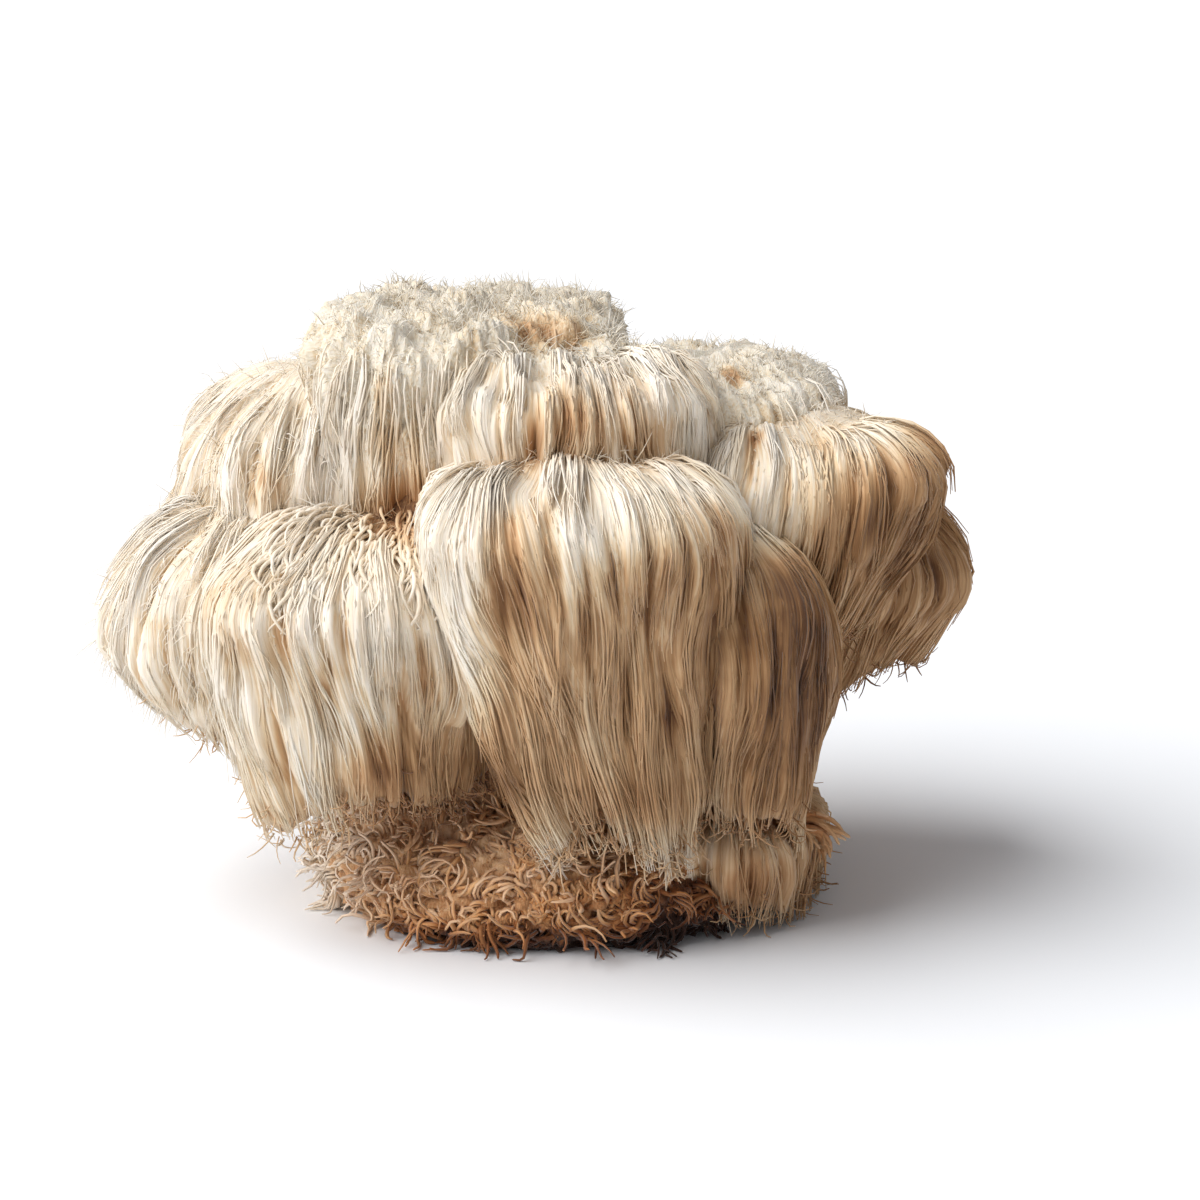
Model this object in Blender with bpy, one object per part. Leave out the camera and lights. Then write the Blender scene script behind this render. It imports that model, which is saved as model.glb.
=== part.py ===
"""A lion's mane mushroom: one fruiting body of drooping lobes, combed into hanging locks of spines.

The lobes hang in tiers round a common heart, and all of it stands on a short curly stub with a flat cut.
Metres, +Z up, origin on the table under the middle of the mushroom, front towards -Y.
"""

import math
import random
from dataclasses import dataclass

import bmesh
import bpy
import numpy as np
from mathutils import Matrix, Vector, noise

MM = 0.001

# Driving dimensions, in millimetres
LOCK_WIDTH = 9.5  # spacing of the locks round the widest part of a lobe
LOCK_RELIEF = 2.1  # how far a lock stands out of, or a parting sinks into, the lobe's mean surface
LOCK_TIP = 3.6  # how far a lock's tip hangs below, or a parting rises above, the lobe's mean hem
LONG_DROP = 45.0  # a lobe with a shorter drop than this has shorter tips
TOOTH_RELIEF = 2.6  # roughness of the short teeth on top of a lobe
SWELL = 2.0  # slow swelling of a lobe's surface
SWELL_LENGTH = 17.0  # size of those swellings
HEM_THICKNESS = 6.0  # rise of the hollow under a lobe's hem

RINGS = 9  # rings of faces from the crest of a lobe to the middle of its underside
HEM_RING = 7  # the ring that carries the tips
TOOTH_RINGS = 2  # the rings that carry short teeth
FINE_STEPS = 180  # stretches that a ring's length is measured in
DOME_SHARE = 0.4  # share of the way from crest to tips that is the rounded top
RIDGE_ENDS = 2.0  # how sharply a parting's ends turn into the lobe's round ends
RIDGE_TOP = 0.7  # length of the parting at the crest, as a share of its length at the lobe's widest
TAPER_CURVE = 1.3  # above 1, a lobe keeps its width at first and narrows towards its tips
CREST_CLEAR, HEM_CLEAR = 0.05, 0.97  # the outward direction is taken between these falls
GIRTH_WAVES = ((0.045, 2, 1.0), (0.04, 3, 2.0))  # share of the girth, waves round the lobe, shift
HEM_WAVES = ((0.06, 2, 1.7), (0.04, 5, 1.0))  # the same for the drop
WAVER_START = (0.37, 0.21)  # turns a lobe's place into where its waves start, in radians for each mm
BULK_RANGE = (0.4, 1.5)  # the least and the most that a lock stands out, against its mean
LOCK_SHIFT = 0.3  # how far a lock or a parting may stray, as a share of their spacing
SEED = 11

STUB_CENTRE = (3.5, -1.0)
STUB_REACH = (51.0, 45.0)  # half width and half depth of the curly stub
STUB_TOP = 30.0
STUB_MIDDLE = 9.0  # height of the stub's widest ring
STUB_BELOW = 10.0  # how far the stub's ball goes on below the flat cut
STUB_CURL = 5.0  # height of the lumps of curls on the stub
STUB_CURL_LENGTH = 8.0  # width of those lumps
STUB_STEPS, STUB_RINGS = 40, 14

HEART_CENTRE = (2.0, 2.0, 58.0)
HEART_REACH = (56.0, 42.0, 50.0)

MIDDLE = (1.44, 1.4)  # the middle of the finished mushroom, in the plan that the centres are given in


@dataclass(frozen=True)
class Lobe:
    """A drooping lobe. Lengths are in millimetres."""

    centre: tuple  # X and Y of the middle of its widest ring
    top: float  # height of the crest
    reach: tuple  # half width and half depth at its widest
    drop: float  # from the crest to the tips
    ridge: float = 0.0  # half length of the parting along the lobe's own X
    taper: float = 0.85  # width at the tips, as a share of the widest
    lean: tuple = (0.0, 0.0)  # how far the tips hang from under the widest ring
    crest: tuple = (0.0, 0.0)  # where the locks start from, against the centre
    dome: float = 0.5  # height of the rounded top, as a share of the smaller reach
    tilt: float = 0.0  # how much lower the tips hang at the +X end than in the middle


LOBES = {
    "crown": Lobe((-22, 6), 125, (24, 27), 46, ridge=11, taper=0.92, lean=(0, -2), crest=(1, 7), tilt=7),
    "crown_right": Lobe((0, 18), 124, (18, 23), 46, ridge=4, crest=(0, 3)),
    "second_tier": Lobe((8, -12), 117, (27, 22), 40, ridge=17, taper=0.9, crest=(-3, 9)),
    "top_right": Lobe((39, 20), 111, (25, 27), 45, ridge=10, crest=(-3, 2)),
    "right_shoulder": Lobe((58, -5), 102, (25, 25), 44, ridge=9, taper=0.52, lean=(-8, 0), crest=(-6, 7)),
    "right_side": Lobe((66, 22), 84, (26, 27), 44, 4, taper=0.68, lean=(-9, -3), crest=(-12, 0), dome=0.8),
    "front_curtain": Lobe((7, -39), 100, (30, 25), 77, 20, taper=0.52, lean=(12, 2), crest=(0, 13), tilt=-6),
    "front_right": Lobe((39, -30), 86, (20, 22), 63, 6, taper=0.68, lean=(0, 3), crest=(-4, 11), dome=1.3),
    "upper_left": Lobe((-48, 11), 111, (26, 28), 46, 2, taper=1.15, lean=(-4, -3), crest=(10, 2), dome=0.9),
    "left_side": Lobe((-60, -4), 87, (28, 31), 55, 3, 0.8, lean=(6, -2), crest=(8, -4), dome=1.1, tilt=14),
    "front_left": Lobe((-36, -25), 86, (31, 28), 57, 12, taper=0.84, lean=(5, 2), crest=(6, 11), dome=0.6),
    "right_frill": Lobe((41, -12), 24, (18, 24), 18, ridge=2, taper=0.92, dome=0.35),
    "back_left": Lobe((-38, 34), 104, (29, 29), 52, ridge=6, crest=(7, -9)),
    "back_middle": Lobe((10, 38), 101, (31, 25), 60, ridge=12, crest=(-3, -9)),
    "back_right": Lobe((45, 34), 89, (25, 26), 50, ridge=5, taper=0.8, lean=(-3, -3), crest=(-8, -7)),
    "low_back_left": Lobe((-40, 20), 66, (27, 30), 45, ridge=6, taper=0.75, lean=(4, -4)),
    "low_back": Lobe((6, 30), 58, (36, 26), 44, ridge=14, taper=0.8, lean=(0, -4)),
    "low_back_right": Lobe((41, 17), 52, (23, 26), 38, ridge=5, taper=0.77, lean=(-3, -3)),
}

FLESH_COLOUR = (0.80, 0.68, 0.52, 1.0)
SHARP_ANGLE = 25


def smooth(share):
    """Eases from 0 to 1."""
    share = max(0.0, min(1.0, share))
    return share * share * (3 - 2 * share)


def waver(lobe, angle, *parts):
    """Slow waves round a lobe, each (share, how many, shift), so that no lobe is a plain oval."""
    start = WAVER_START[0] * lobe.centre[0] + WAVER_START[1] * lobe.centre[1]
    return 1 + sum(share * math.sin(many * angle + shift * start) for share, many, shift in parts)


def curtain_point(lobe, angle, fall):
    """A point of the mean surface: angle goes round the lobe, fall from 0 at the crest to 1 at the tips."""
    reach_x, reach_y = lobe.reach
    dome = lobe.dome * min(lobe.reach)
    drop = lobe.drop * waver(lobe, angle, *HEM_WAVES) + lobe.tilt * math.cos(angle)
    if fall < DOME_SHARE:
        bend = math.pi / 2 * fall / DOME_SHARE
        spread = math.sin(bend)
        from_crest = 1 - spread
        ridge_share = RIDGE_TOP + (1 - RIDGE_TOP) * spread
        depth = dome * (1 - math.cos(bend))
    else:
        hang = (fall - DOME_SHARE) / (1 - DOME_SHARE)
        spread = 1 + (lobe.taper - 1) * hang**TAPER_CURVE
        from_crest = 0
        ridge_share = spread
        depth = dome + (drop - dome) * hang
    along_ridge = lobe.ridge * math.tanh(RIDGE_ENDS * math.cos(angle)) / math.tanh(RIDGE_ENDS)
    x = along_ridge * ridge_share + (reach_x - lobe.ridge) * math.cos(angle) * spread
    y = reach_y * math.sin(angle) * spread
    wide = waver(lobe, angle, *GIRTH_WAVES)
    return Vector(
        (
            lobe.centre[0] + x * wide + lobe.crest[0] * from_crest + lobe.lean[0] * fall**2,
            lobe.centre[1] + y * wide + lobe.crest[1] * from_crest + lobe.lean[1] * fall**2,
            lobe.top - depth,
        )
    )


def outward(lobe, angle, fall):
    """The direction that points out of a lobe's mean surface."""
    step = 0.01
    round_it = curtain_point(lobe, angle + step, fall) - curtain_point(lobe, angle - step, fall)
    down_it = curtain_point(lobe, angle, fall + step) - curtain_point(lobe, angle, fall - step)
    return down_it.cross(round_it).normalized()


def lock_count(lobe):
    """Enough locks to go round the lobe at its widest."""
    reach_x, reach_y = lobe.reach
    across = math.sqrt((3 * reach_x + reach_y) * (reach_x + 3 * reach_y))
    around = math.pi * (3 * (reach_x + reach_y) - across)
    return max(8, round(around / LOCK_WIDTH))


def even_angles(lobe, steps):
    """Angles that part the lobe's widest ring into stretches of the same length."""
    fine = [2 * math.pi * i / FINE_STEPS for i in range(FINE_STEPS + 1)]
    points = [curtain_point(lobe, angle, DOME_SHARE) for angle in fine]
    lengths = [0.0]
    for here, there in zip(points, points[1:]):
        lengths.append(lengths[-1] + (there - here).length)
    return list(np.interp(np.arange(steps) / steps * lengths[-1], lengths, fine))


def under_hem(lobe, angle, ring):
    """A point of the hollow underside, which closes the lobe from its hem inwards."""
    hem = curtain_point(lobe, angle, 1.0)
    middle = Vector((lobe.centre[0] + lobe.lean[0], lobe.centre[1] + lobe.lean[1], hem.z))
    inwards = (ring - HEM_RING) / (RINGS - HEM_RING)
    point = hem.lerp(middle, inwards)
    point.z += HEM_THICKNESS * (1 + inwards)
    return point


def lobe_point(lobe, ring, step, chance):
    """Where a vertex of the lobe's sphere goes. Even steps carry a lock, odd ones the parting beside it."""
    if ring == 0:
        return Vector((lobe.centre[0] + lobe.crest[0], lobe.centre[1] + lobe.crest[1], lobe.top))
    angle = chance["angles"][step]
    if ring > HEM_RING:
        return under_hem(lobe, angle, ring)
    side = 1 if step % 2 == 0 else -1
    fall = ring / HEM_RING
    point = curtain_point(lobe, angle, fall)
    normal = outward(lobe, angle, min(max(fall, CREST_CLEAR), HEM_CLEAR))
    relief = side * LOCK_RELIEF * chance["bulk"][step] * smooth(fall / DOME_SHARE)
    relief += SWELL * noise.noise(point / SWELL_LENGTH)
    if ring <= TOOTH_RINGS:
        relief += TOOTH_RELIEF * chance["tooth"][ring - 1][step]
    point += normal * relief
    if ring == HEM_RING:
        point.z -= side * LOCK_TIP * chance["bulk"][step] * min(1, lobe.drop / LONG_DROP)
    return point


def add_mesh_object(name, bm, collection, material=None):
    """Triangles are flat, so a Boolean cuts them cleanly."""
    bmesh.ops.triangulate(bm, faces=bm.faces)
    mesh = bpy.data.meshes.new(name)
    bm.to_mesh(mesh)
    bm.free()
    obj = bpy.data.objects.new(name, mesh)
    collection.objects.link(obj)
    if material:
        mesh.materials.append(material)
    return obj


def make_lobe(name, lobe, collection):
    """A sphere whose rings become the crest, the combed locks, their tips and the hollow underside."""
    steps = 2 * lock_count(lobe)
    dice = random.Random(f"{SEED} {name}")
    spacing = 2 * math.pi / steps
    shift = [dice.uniform(-LOCK_SHIFT, LOCK_SHIFT) * spacing for _ in range(steps)]
    chance = {
        "angles": [angle + turn for angle, turn in zip(even_angles(lobe, steps), shift)],
        "bulk": [dice.uniform(*BULK_RANGE) for _ in range(steps)],
        "tooth": [[dice.uniform(-0.5, 0.5) for _ in range(steps)] for _ in range(TOOTH_RINGS)],
    }
    bm = bmesh.new()
    bmesh.ops.create_uvsphere(bm, u_segments=steps, v_segments=RINGS, radius=1.0)
    for vertex in bm.verts:
        x, y, z = vertex.co
        ring = round(math.acos(max(-1.0, min(1.0, z))) / math.pi * RINGS)
        step = round(math.atan2(y, x) / (2 * math.pi) * steps) % steps if 0 < ring < RINGS else 0
        vertex.co = lobe_point(lobe, ring, step, chance) * MM
    bmesh.ops.recalc_face_normals(bm, faces=bm.faces)
    return add_mesh_object(name, bm, collection)


def make_heart(collection):
    """The flesh in the middle, which every lobe grows from."""
    bm = bmesh.new()
    bmesh.ops.create_icosphere(bm, subdivisions=3, radius=1.0)
    stretch = Matrix.Diagonal((*(Vector(HEART_REACH) * MM), 1))
    bmesh.ops.transform(bm, matrix=Matrix.Translation(Vector(HEART_CENTRE) * MM) @ stretch, verts=bm.verts)
    return add_mesh_object("heart", bm, collection)


def make_stub(name, collection, material):
    """The curly stub: a squat ball roughened by short curled fibres, with a flat cut to stand on."""
    bm = bmesh.new()
    bmesh.ops.create_uvsphere(bm, u_segments=STUB_STEPS, v_segments=STUB_RINGS, radius=1.0)
    for vertex in bm.verts:
        way = vertex.co.copy()
        height = STUB_TOP - STUB_MIDDLE if way.z > 0 else STUB_MIDDLE + STUB_BELOW
        point = Vector(
            (
                STUB_CENTRE[0] + STUB_REACH[0] * way.x,
                STUB_CENTRE[1] + STUB_REACH[1] * way.y,
                STUB_MIDDLE + height * way.z,
            )
        )
        curl = noise.noise(point / STUB_CURL_LENGTH) + 0.5 * noise.noise(point * 2 / STUB_CURL_LENGTH)
        vertex.co = (point + way * STUB_CURL * curl) * MM
    floor = bmesh.ops.bisect_plane(
        bm,
        geom=bm.verts[:] + bm.edges[:] + bm.faces[:],
        plane_co=(0, 0, 0),
        plane_no=(0, 0, -1),
        clear_outer=True,
    )
    rim = [element for element in floor["geom_cut"] if isinstance(element, bmesh.types.BMEdge)]
    bmesh.ops.edgeloop_fill(bm, edges=rim)
    bmesh.ops.recalc_face_normals(bm, faces=bm.faces)
    return add_mesh_object(name, bm, collection, material)


def flesh_material():
    material = bpy.data.materials.new("mushroom flesh")
    material.use_nodes = True
    shader = material.node_tree.nodes["Principled BSDF"]
    shader.inputs["Base Color"].default_value = FLESH_COLOUR
    shader.inputs["Roughness"].default_value = 0.7
    shader.inputs["Metallic"].default_value = 0.0
    return material


def islands(bm):
    """The groups of faces that hang together."""
    left = set(bm.faces)
    while left:
        island, edge_of_search = set(), [left.pop()]
        while edge_of_search:
            face = edge_of_search.pop()
            island.add(face)
            for edge in face.edges:
                for neighbour in edge.link_faces:
                    if neighbour in left:
                        left.remove(neighbour)
                        edge_of_search.append(neighbour)
        yield island


def join_growths(body, growths):
    """Joins the growths to the body, and fills the gaps that stay shut in between them."""
    join = body.modifiers.new("join the growths", "BOOLEAN")
    join.operation = "UNION"
    join.operand_type = "COLLECTION"
    join.collection = growths
    join.solver = "EXACT"
    bpy.context.view_layer.update()
    evaluated = body.evaluated_get(bpy.context.evaluated_depsgraph_get())
    joined = bpy.data.meshes.new_from_object(evaluated)
    body.modifiers.clear()
    bm = bmesh.new()
    bm.from_mesh(joined)
    skins = sorted(islands(bm), key=len)
    shut_in = [face for skin in skins[:-1] for face in skin]
    bmesh.ops.delete(bm, geom=shut_in, context="FACES")
    bm.to_mesh(joined)
    bm.free()
    body.data = joined


def new_collection(name):
    collection = bpy.data.collections.new(name)
    bpy.context.scene.collection.children.link(collection)
    return collection


def main():
    for obj in list(bpy.data.objects):
        bpy.data.objects.remove(obj)
    mushroom = new_collection("lions_mane_mushroom")
    growths = new_collection("growths")
    for name, lobe in LOBES.items():
        make_lobe(name, lobe, growths)
    make_heart(growths)
    for helper in growths.objects:
        helper.hide_render = True
        helper.display_type = "WIRE"
    body = make_stub("fruiting_body", mushroom, flesh_material())
    join_growths(body, growths)
    body.data.transform(Matrix.Translation((-MIDDLE[0] * MM, -MIDDLE[1] * MM, 0)))
    body.data.shade_smooth()
    body.data.set_sharp_from_angle(angle=math.radians(SHARP_ANGLE))


main()
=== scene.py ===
import math

import bpy
import numpy as np
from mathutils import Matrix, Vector


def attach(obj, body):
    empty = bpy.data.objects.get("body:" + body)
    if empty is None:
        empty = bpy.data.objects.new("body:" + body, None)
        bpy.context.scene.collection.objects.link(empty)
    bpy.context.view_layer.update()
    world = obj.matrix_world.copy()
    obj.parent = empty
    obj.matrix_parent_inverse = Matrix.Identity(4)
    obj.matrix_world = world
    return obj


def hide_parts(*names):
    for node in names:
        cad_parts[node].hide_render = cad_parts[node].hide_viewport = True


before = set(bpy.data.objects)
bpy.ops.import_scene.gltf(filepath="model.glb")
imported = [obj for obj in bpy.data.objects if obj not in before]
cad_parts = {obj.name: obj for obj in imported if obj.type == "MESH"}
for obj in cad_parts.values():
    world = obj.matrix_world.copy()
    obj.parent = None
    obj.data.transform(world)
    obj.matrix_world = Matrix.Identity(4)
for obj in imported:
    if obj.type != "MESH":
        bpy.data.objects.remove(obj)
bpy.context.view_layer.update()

mm = 0.001
planMiddle = np.array([1.44, 1.4, 0.0])  # middle of the mushroom in the plan that the lobes are placed in, mm

# camera, as in the photo; places named by a pixel below are looked up through it
view = dict(
    aim=(0.0118, -0.0014, 0.0624),
    distance=0.8,
    rise=15.0,  # degrees above the level
    lens=115.0,
    sensor=36.0,
    photoSize=1200,  # pixels
)


# centre, top, reach, drop, ridge, lean, crest and tilt in mm; taper and dome as shares of the reach
def lobe(centre, top, reach, drop, ridge=0, taper=0.85, lean=(0, 0), crest=(0, 0), dome=0.5, tilt=0):
    return dict(centre=centre, top=top, reach=reach, drop=drop, ridge=ridge, taper=taper,
                lean=lean, crest=crest, dome=dome * min(reach), tilt=tilt)


# the lobes as they grew: each is a dome with a curtain of spines hanging from it
lobes = {
    "crown": lobe((-22, 6), 125, (24, 27), 46, ridge=11, taper=0.92, lean=(0, -2), crest=(1, 7), tilt=7),
    "crownRight": lobe((0, 18), 124, (18, 23), 46, ridge=4, crest=(0, 3)),
    "secondTier": lobe((8, -12), 117, (27, 22), 40, ridge=17, taper=0.9, crest=(-3, 9)),
    "topRight": lobe((39, 20), 111, (25, 27), 45, ridge=10, crest=(-3, 2)),
    "rightShoulder": lobe((58, -5), 102, (25, 25), 44, ridge=9, taper=0.52, lean=(-8, 0), crest=(-6, 7)),
    "rightSide": lobe((66, 22), 84, (26, 27), 44, 4, taper=0.68, lean=(-9, -3), crest=(-12, 0), dome=0.8),
    "frontCurtain": lobe((7, -39), 100, (30, 25), 77, 20, taper=0.52, lean=(12, 2), crest=(0, 13), tilt=-6),
    "frontRight": lobe((39, -30), 86, (20, 22), 63, 6, taper=0.68, lean=(0, 3), crest=(-4, 11), dome=1.3),
    "upperLeft": lobe((-48, 11), 111, (26, 28), 46, 2, taper=1.15, lean=(-4, -3), crest=(10, 2), dome=0.9),
    "leftSide": lobe((-60, -4), 87, (28, 31), 55, 3, taper=0.8, lean=(6, -2), crest=(8, -4), dome=1.1,
                     tilt=14),
    "frontLeft": lobe((-36, -25), 86, (31, 28), 57, 12, taper=0.84, lean=(5, 2), crest=(6, 11), dome=0.6),
    "rightFrill": lobe((41, -12), 24, (18, 24), 20, ridge=2, taper=0.92, dome=0.35),
    "backLeft": lobe((-38, 34), 104, (29, 29), 52, ridge=6, crest=(7, -9)),
    "backMiddle": lobe((10, 38), 101, (31, 25), 60, ridge=12, crest=(-3, -9)),
    "backRight": lobe((45, 34), 89, (25, 26), 50, ridge=5, taper=0.8, lean=(-3, -3), crest=(-8, -7)),
    "lowBackLeft": lobe((-40, 20), 66, (27, 30), 45, ridge=6, taper=0.75, lean=(4, -4)),
    "lowBack": lobe((6, 30), 58, (36, 26), 44, ridge=14, taper=0.8, lean=(0, -4)),
    "lowBackRight": lobe((41, 17), 52, (23, 26), 38, ridge=5, taper=0.77, lean=(-3, -3)),
}
domeShare = 0.4  # share of the way from crest to tips that is the rounded top
ridgeEnds = 2.0
ridgeTop = 0.7  # length of the crest line, as a share of the ridge at the lobe's widest
taperCurve = 1.3
girthWaves = [(0.045, 2, 1.0), (0.04, 3, 2.0)]  # share of the girth, waves round the lobe, shift
hemWaves = [(0.06, 2, 1.7), (0.04, 5, 1.0)]
waverStart = (0.37, 0.21)


def easeIn(share):
    share = np.clip(share, 0, 1)
    return share * share * (3 - 2 * share)


def unit(vectors):
    return vectors / np.maximum(np.linalg.norm(vectors, axis=-1, keepdims=True), 1e-9)


def waver(lobe, angle, waves):  # slow waves round a lobe
    start = waverStart[0] * lobe["centre"][0] + waverStart[1] * lobe["centre"][1]
    return 1 + sum(share * np.sin(many * angle + shift * start) for share, many, shift in waves)


def dropAt(lobe, angle):  # from the crest to the tips, mm
    return lobe["drop"] * waver(lobe, angle, hemWaves) + lobe["tilt"] * np.cos(angle)


def spreadAt(lobe, fall):
    bend = math.pi / 2 * np.clip(fall / domeShare, 0, 1)
    hang = np.clip((fall - domeShare) / (1 - domeShare), 0, 1.2)
    return np.where(fall < domeShare, np.sin(bend), 1 + (lobe["taper"] - 1) * hang ** taperCurve)


def curtainPoint(lobe, angle, fall):  # the mean surface; fall runs from 0 at the crest to 1 at the tips
    angle, fall = np.broadcast_arrays(angle, fall)
    reachX, reachY = lobe["reach"]
    drop = dropAt(lobe, angle)
    bend = math.pi / 2 * np.clip(fall / domeShare, 0, 1)
    hang = (fall - domeShare) / (1 - domeShare)
    spread = spreadAt(lobe, fall)
    onDome = fall < domeShare
    depth = np.where(onDome, lobe["dome"] * (1 - np.cos(bend)), lobe["dome"] + (drop - lobe["dome"]) * hang)
    fromCrest = np.where(onDome, 1 - spread, 0)
    alongRidge = lobe["ridge"] * np.tanh(ridgeEnds * np.cos(angle)) / math.tanh(ridgeEnds)
    shorter = np.where(onDome, ridgeTop + (1 - ridgeTop) * spread, spread)
    x = alongRidge * shorter + (reachX - lobe["ridge"]) * np.cos(angle) * spread
    y = reachY * np.sin(angle) * spread
    wide = waver(lobe, angle, girthWaves)
    lean = np.clip(fall, 0, 1.15) ** 2
    return np.stack([
        lobe["centre"][0] + x * wide + lobe["crest"][0] * fromCrest + lobe["lean"][0] * lean,
        lobe["centre"][1] + y * wide + lobe["crest"][1] * fromCrest + lobe["lean"][1] * lean,
        lobe["top"] - depth,
    ], axis=-1)


def outward(lobe, angle, fall):
    step = 0.01
    fall = np.clip(fall, 0.05, 0.97)
    roundIt = curtainPoint(lobe, angle + step, fall) - curtainPoint(lobe, angle - step, fall)
    downIt = curtainPoint(lobe, angle, fall + step) - curtainPoint(lobe, angle, fall - step)
    return unit(np.cross(downIt, roundIt))


def depthInside(lobe, points):  # about how deep, in mm, points lie inside a lobe; below 0 is outside
    dome = lobe["dome"]
    depth = lobe["top"] - points[..., 2]
    onDome = depth < dome
    bend = np.arccos(np.clip(1 - depth / dome, -1, 1))
    hang = np.clip((depth - dome) / (lobe["drop"] - dome), 0, 1)
    domeFall = domeShare * np.clip(bend / (math.pi / 2), 0, 1)
    fall = np.where(onDome, domeFall, domeShare + (1 - domeShare) * hang)
    fromCrest = np.where(onDome, 1 - np.sin(np.clip(bend, 0, math.pi / 2)), 0)
    x, y = [(points[..., i] - lobe["centre"][i] - lobe["lean"][i] * fall ** 2 - lobe["crest"][i] * fromCrest)
            / lobe["reach"][i] for i in range(2)]
    angle = np.arctan2(y, x)
    away = np.sqrt(x * x + y * y) / waver(lobe, angle, girthWaves)
    size = min(lobe["reach"])
    inDome = (1 - np.sqrt(away ** 2 + np.clip((dome - depth) / dome, 0, 4) ** 2)) * 0.5 * (size + dome)
    inCurtain = (1 - away / spreadAt(lobe, fall)) * size
    drop = dropAt(lobe, angle)
    return np.where(depth > drop, drop - depth, np.where(onDome, inDome, inCurtain))


def depthInOthers(points, ownName):
    deepest = np.full(points.shape[:-1], -50.0)
    for name, other in lobes.items():
        if name != ownName:
            deepest = np.maximum(deepest, depthInside(other, points))
    return deepest


def photoPixel(points):  # where places in the plan show in the photo
    rise = math.radians(view["rise"])
    back = np.array([0, -math.cos(rise), math.sin(rise)])
    up = np.array([0, math.sin(rise), math.cos(rise)])
    offset = (points - planMiddle) * mm - (np.array(view["aim"]) + back * view["distance"])
    depth = -offset @ back
    zoom = view["photoSize"] * view["lens"] / view["sensor"]
    middle = view["photoSize"] / 2
    return np.stack([middle + zoom * offset[..., 0] / depth, middle - zoom * (offset @ up) / depth], axis=-1)


# a chart of each lobe turns mm round it and mm down it into a place on its surface
chartAngles = np.linspace(0, 2 * math.pi, 361)
chartFalls = np.linspace(0, 1.5, 76)


def chartOf(lobe):
    ring = curtainPoint(lobe, chartAngles, domeShare)
    around = np.concatenate([[0], np.cumsum(np.linalg.norm(np.diff(ring, axis=0), axis=-1))])
    grid = curtainPoint(lobe, chartAngles[:, None], chartFalls[None])
    steps = np.linalg.norm(np.diff(grid, axis=1), axis=-1)
    down = np.concatenate([np.zeros((len(chartAngles), 1)), np.cumsum(steps, axis=1)], axis=1)
    marks = np.arange(0, down[:, -1].min(), 1.0)
    falls = np.array([np.interp(marks, row, chartFalls) for row in down])
    brow = np.array([np.interp(domeShare, chartFalls, row) for row in down])
    hem = np.array([np.interp(1.0, chartFalls, row) for row in down])
    return dict(around=around, girth=around[-1], falls=falls, brow=brow, hem=hem)


charts = {name: chartOf(each) for name, each in lobes.items()}


def readTable(table, left, right, above, across, below):  # between four neighbours in a table
    upper = table[left, above] * (1 - across) + table[right, above] * across
    lower = table[left, above + 1] * (1 - across) + table[right, above + 1] * across
    return upper * (1 - below) + lower * below


def angleOn(name, s):
    return np.interp(np.mod(s, charts[name]["girth"]), charts[name]["around"], chartAngles)


def placeOn(name, s, a):  # s: mm round the lobe, a: mm down from its crest
    falls, angle = charts[name]["falls"], angleOn(name, s)
    column = angle / (2 * math.pi) * (len(chartAngles) - 1)
    left = np.clip(column.astype(int), 0, len(chartAngles) - 2)
    row = np.clip(a, 0.05, falls.shape[1] - 1.01)
    above = row.astype(int)
    fall = readTable(falls, left, left + 1, above, column - left, row - above)
    return angle, np.maximum(fall, 0.002)


def hemAt(name, s, edge="hem"):  # mm down to a lobe's tips, or to its widest ring, its "brow"
    return np.interp(angleOn(name, s), chartAngles, charts[name][edge])


def browAt(name, s):
    return hemAt(name, s, "brow")


def roundApart(name, s, other):  # mm from other to s round the lobe, the short way
    girth = charts[name]["girth"]
    return np.mod(s - other + girth / 2, girth) - girth / 2


def flow(name, s, a):  # mm of sideways drift on the way down, so that neighbours wave together
    turn = 2 * math.pi * s / charts[name]["girth"]
    start = lobes[name]["centre"][0] * 0.13 + lobes[name]["centre"][1] * 0.29
    drift = 1.5 * np.sin(a / 12 + 3 * turn + start) + 0.8 * np.sin(a / 6.5 - 5 * turn + 2 * start)
    drift = drift * np.clip(a / 25, 0, 1)
    for middleS, middleA, share, reach in gathered.get(name, []):
        apart = roundApart(name, middleS, s)
        drift = drift + share * apart * np.exp(-(apart / reach) ** 2) * easeIn(a / middleA)
    return drift


def swell(points):  # slow unevenness of the surface, with hummocks on top, mm
    x, y, z = points[..., 0], points[..., 1], points[..., 2]
    hummocks = 1.8 * np.sin(x / 2.8 + 1.1 * np.sin(y / 5.0)) * np.sin(y / 2.9 + 0.9 * np.sin(x / 4.1))
    hummocks = hummocks + 0.9 * np.sin(x / 1.2 + np.sin(y / 2.3)) * np.sin(y / 1.35 + 0.8 * np.sin(x / 1.9))
    return 0.8 * (np.sin(x / 4.3 + 0.8 * np.sin(z / 7.1)) * np.sin(y / 5.2 + 1.1)
                  + np.sin(z / 6.1 + x / 8.3) * np.sin(y / 6.6 - z / 9.0 + 2.0)
                  ) + easeIn((z - 104) / 12) * hummocks


def surfaceAt(name, s, a):
    angle, fall = placeOn(name, s, a)
    point, normal = curtainPoint(lobes[name], angle, fall), outward(lobes[name], angle, fall)
    return point + normal * swell(point)[..., None], normal


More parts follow.
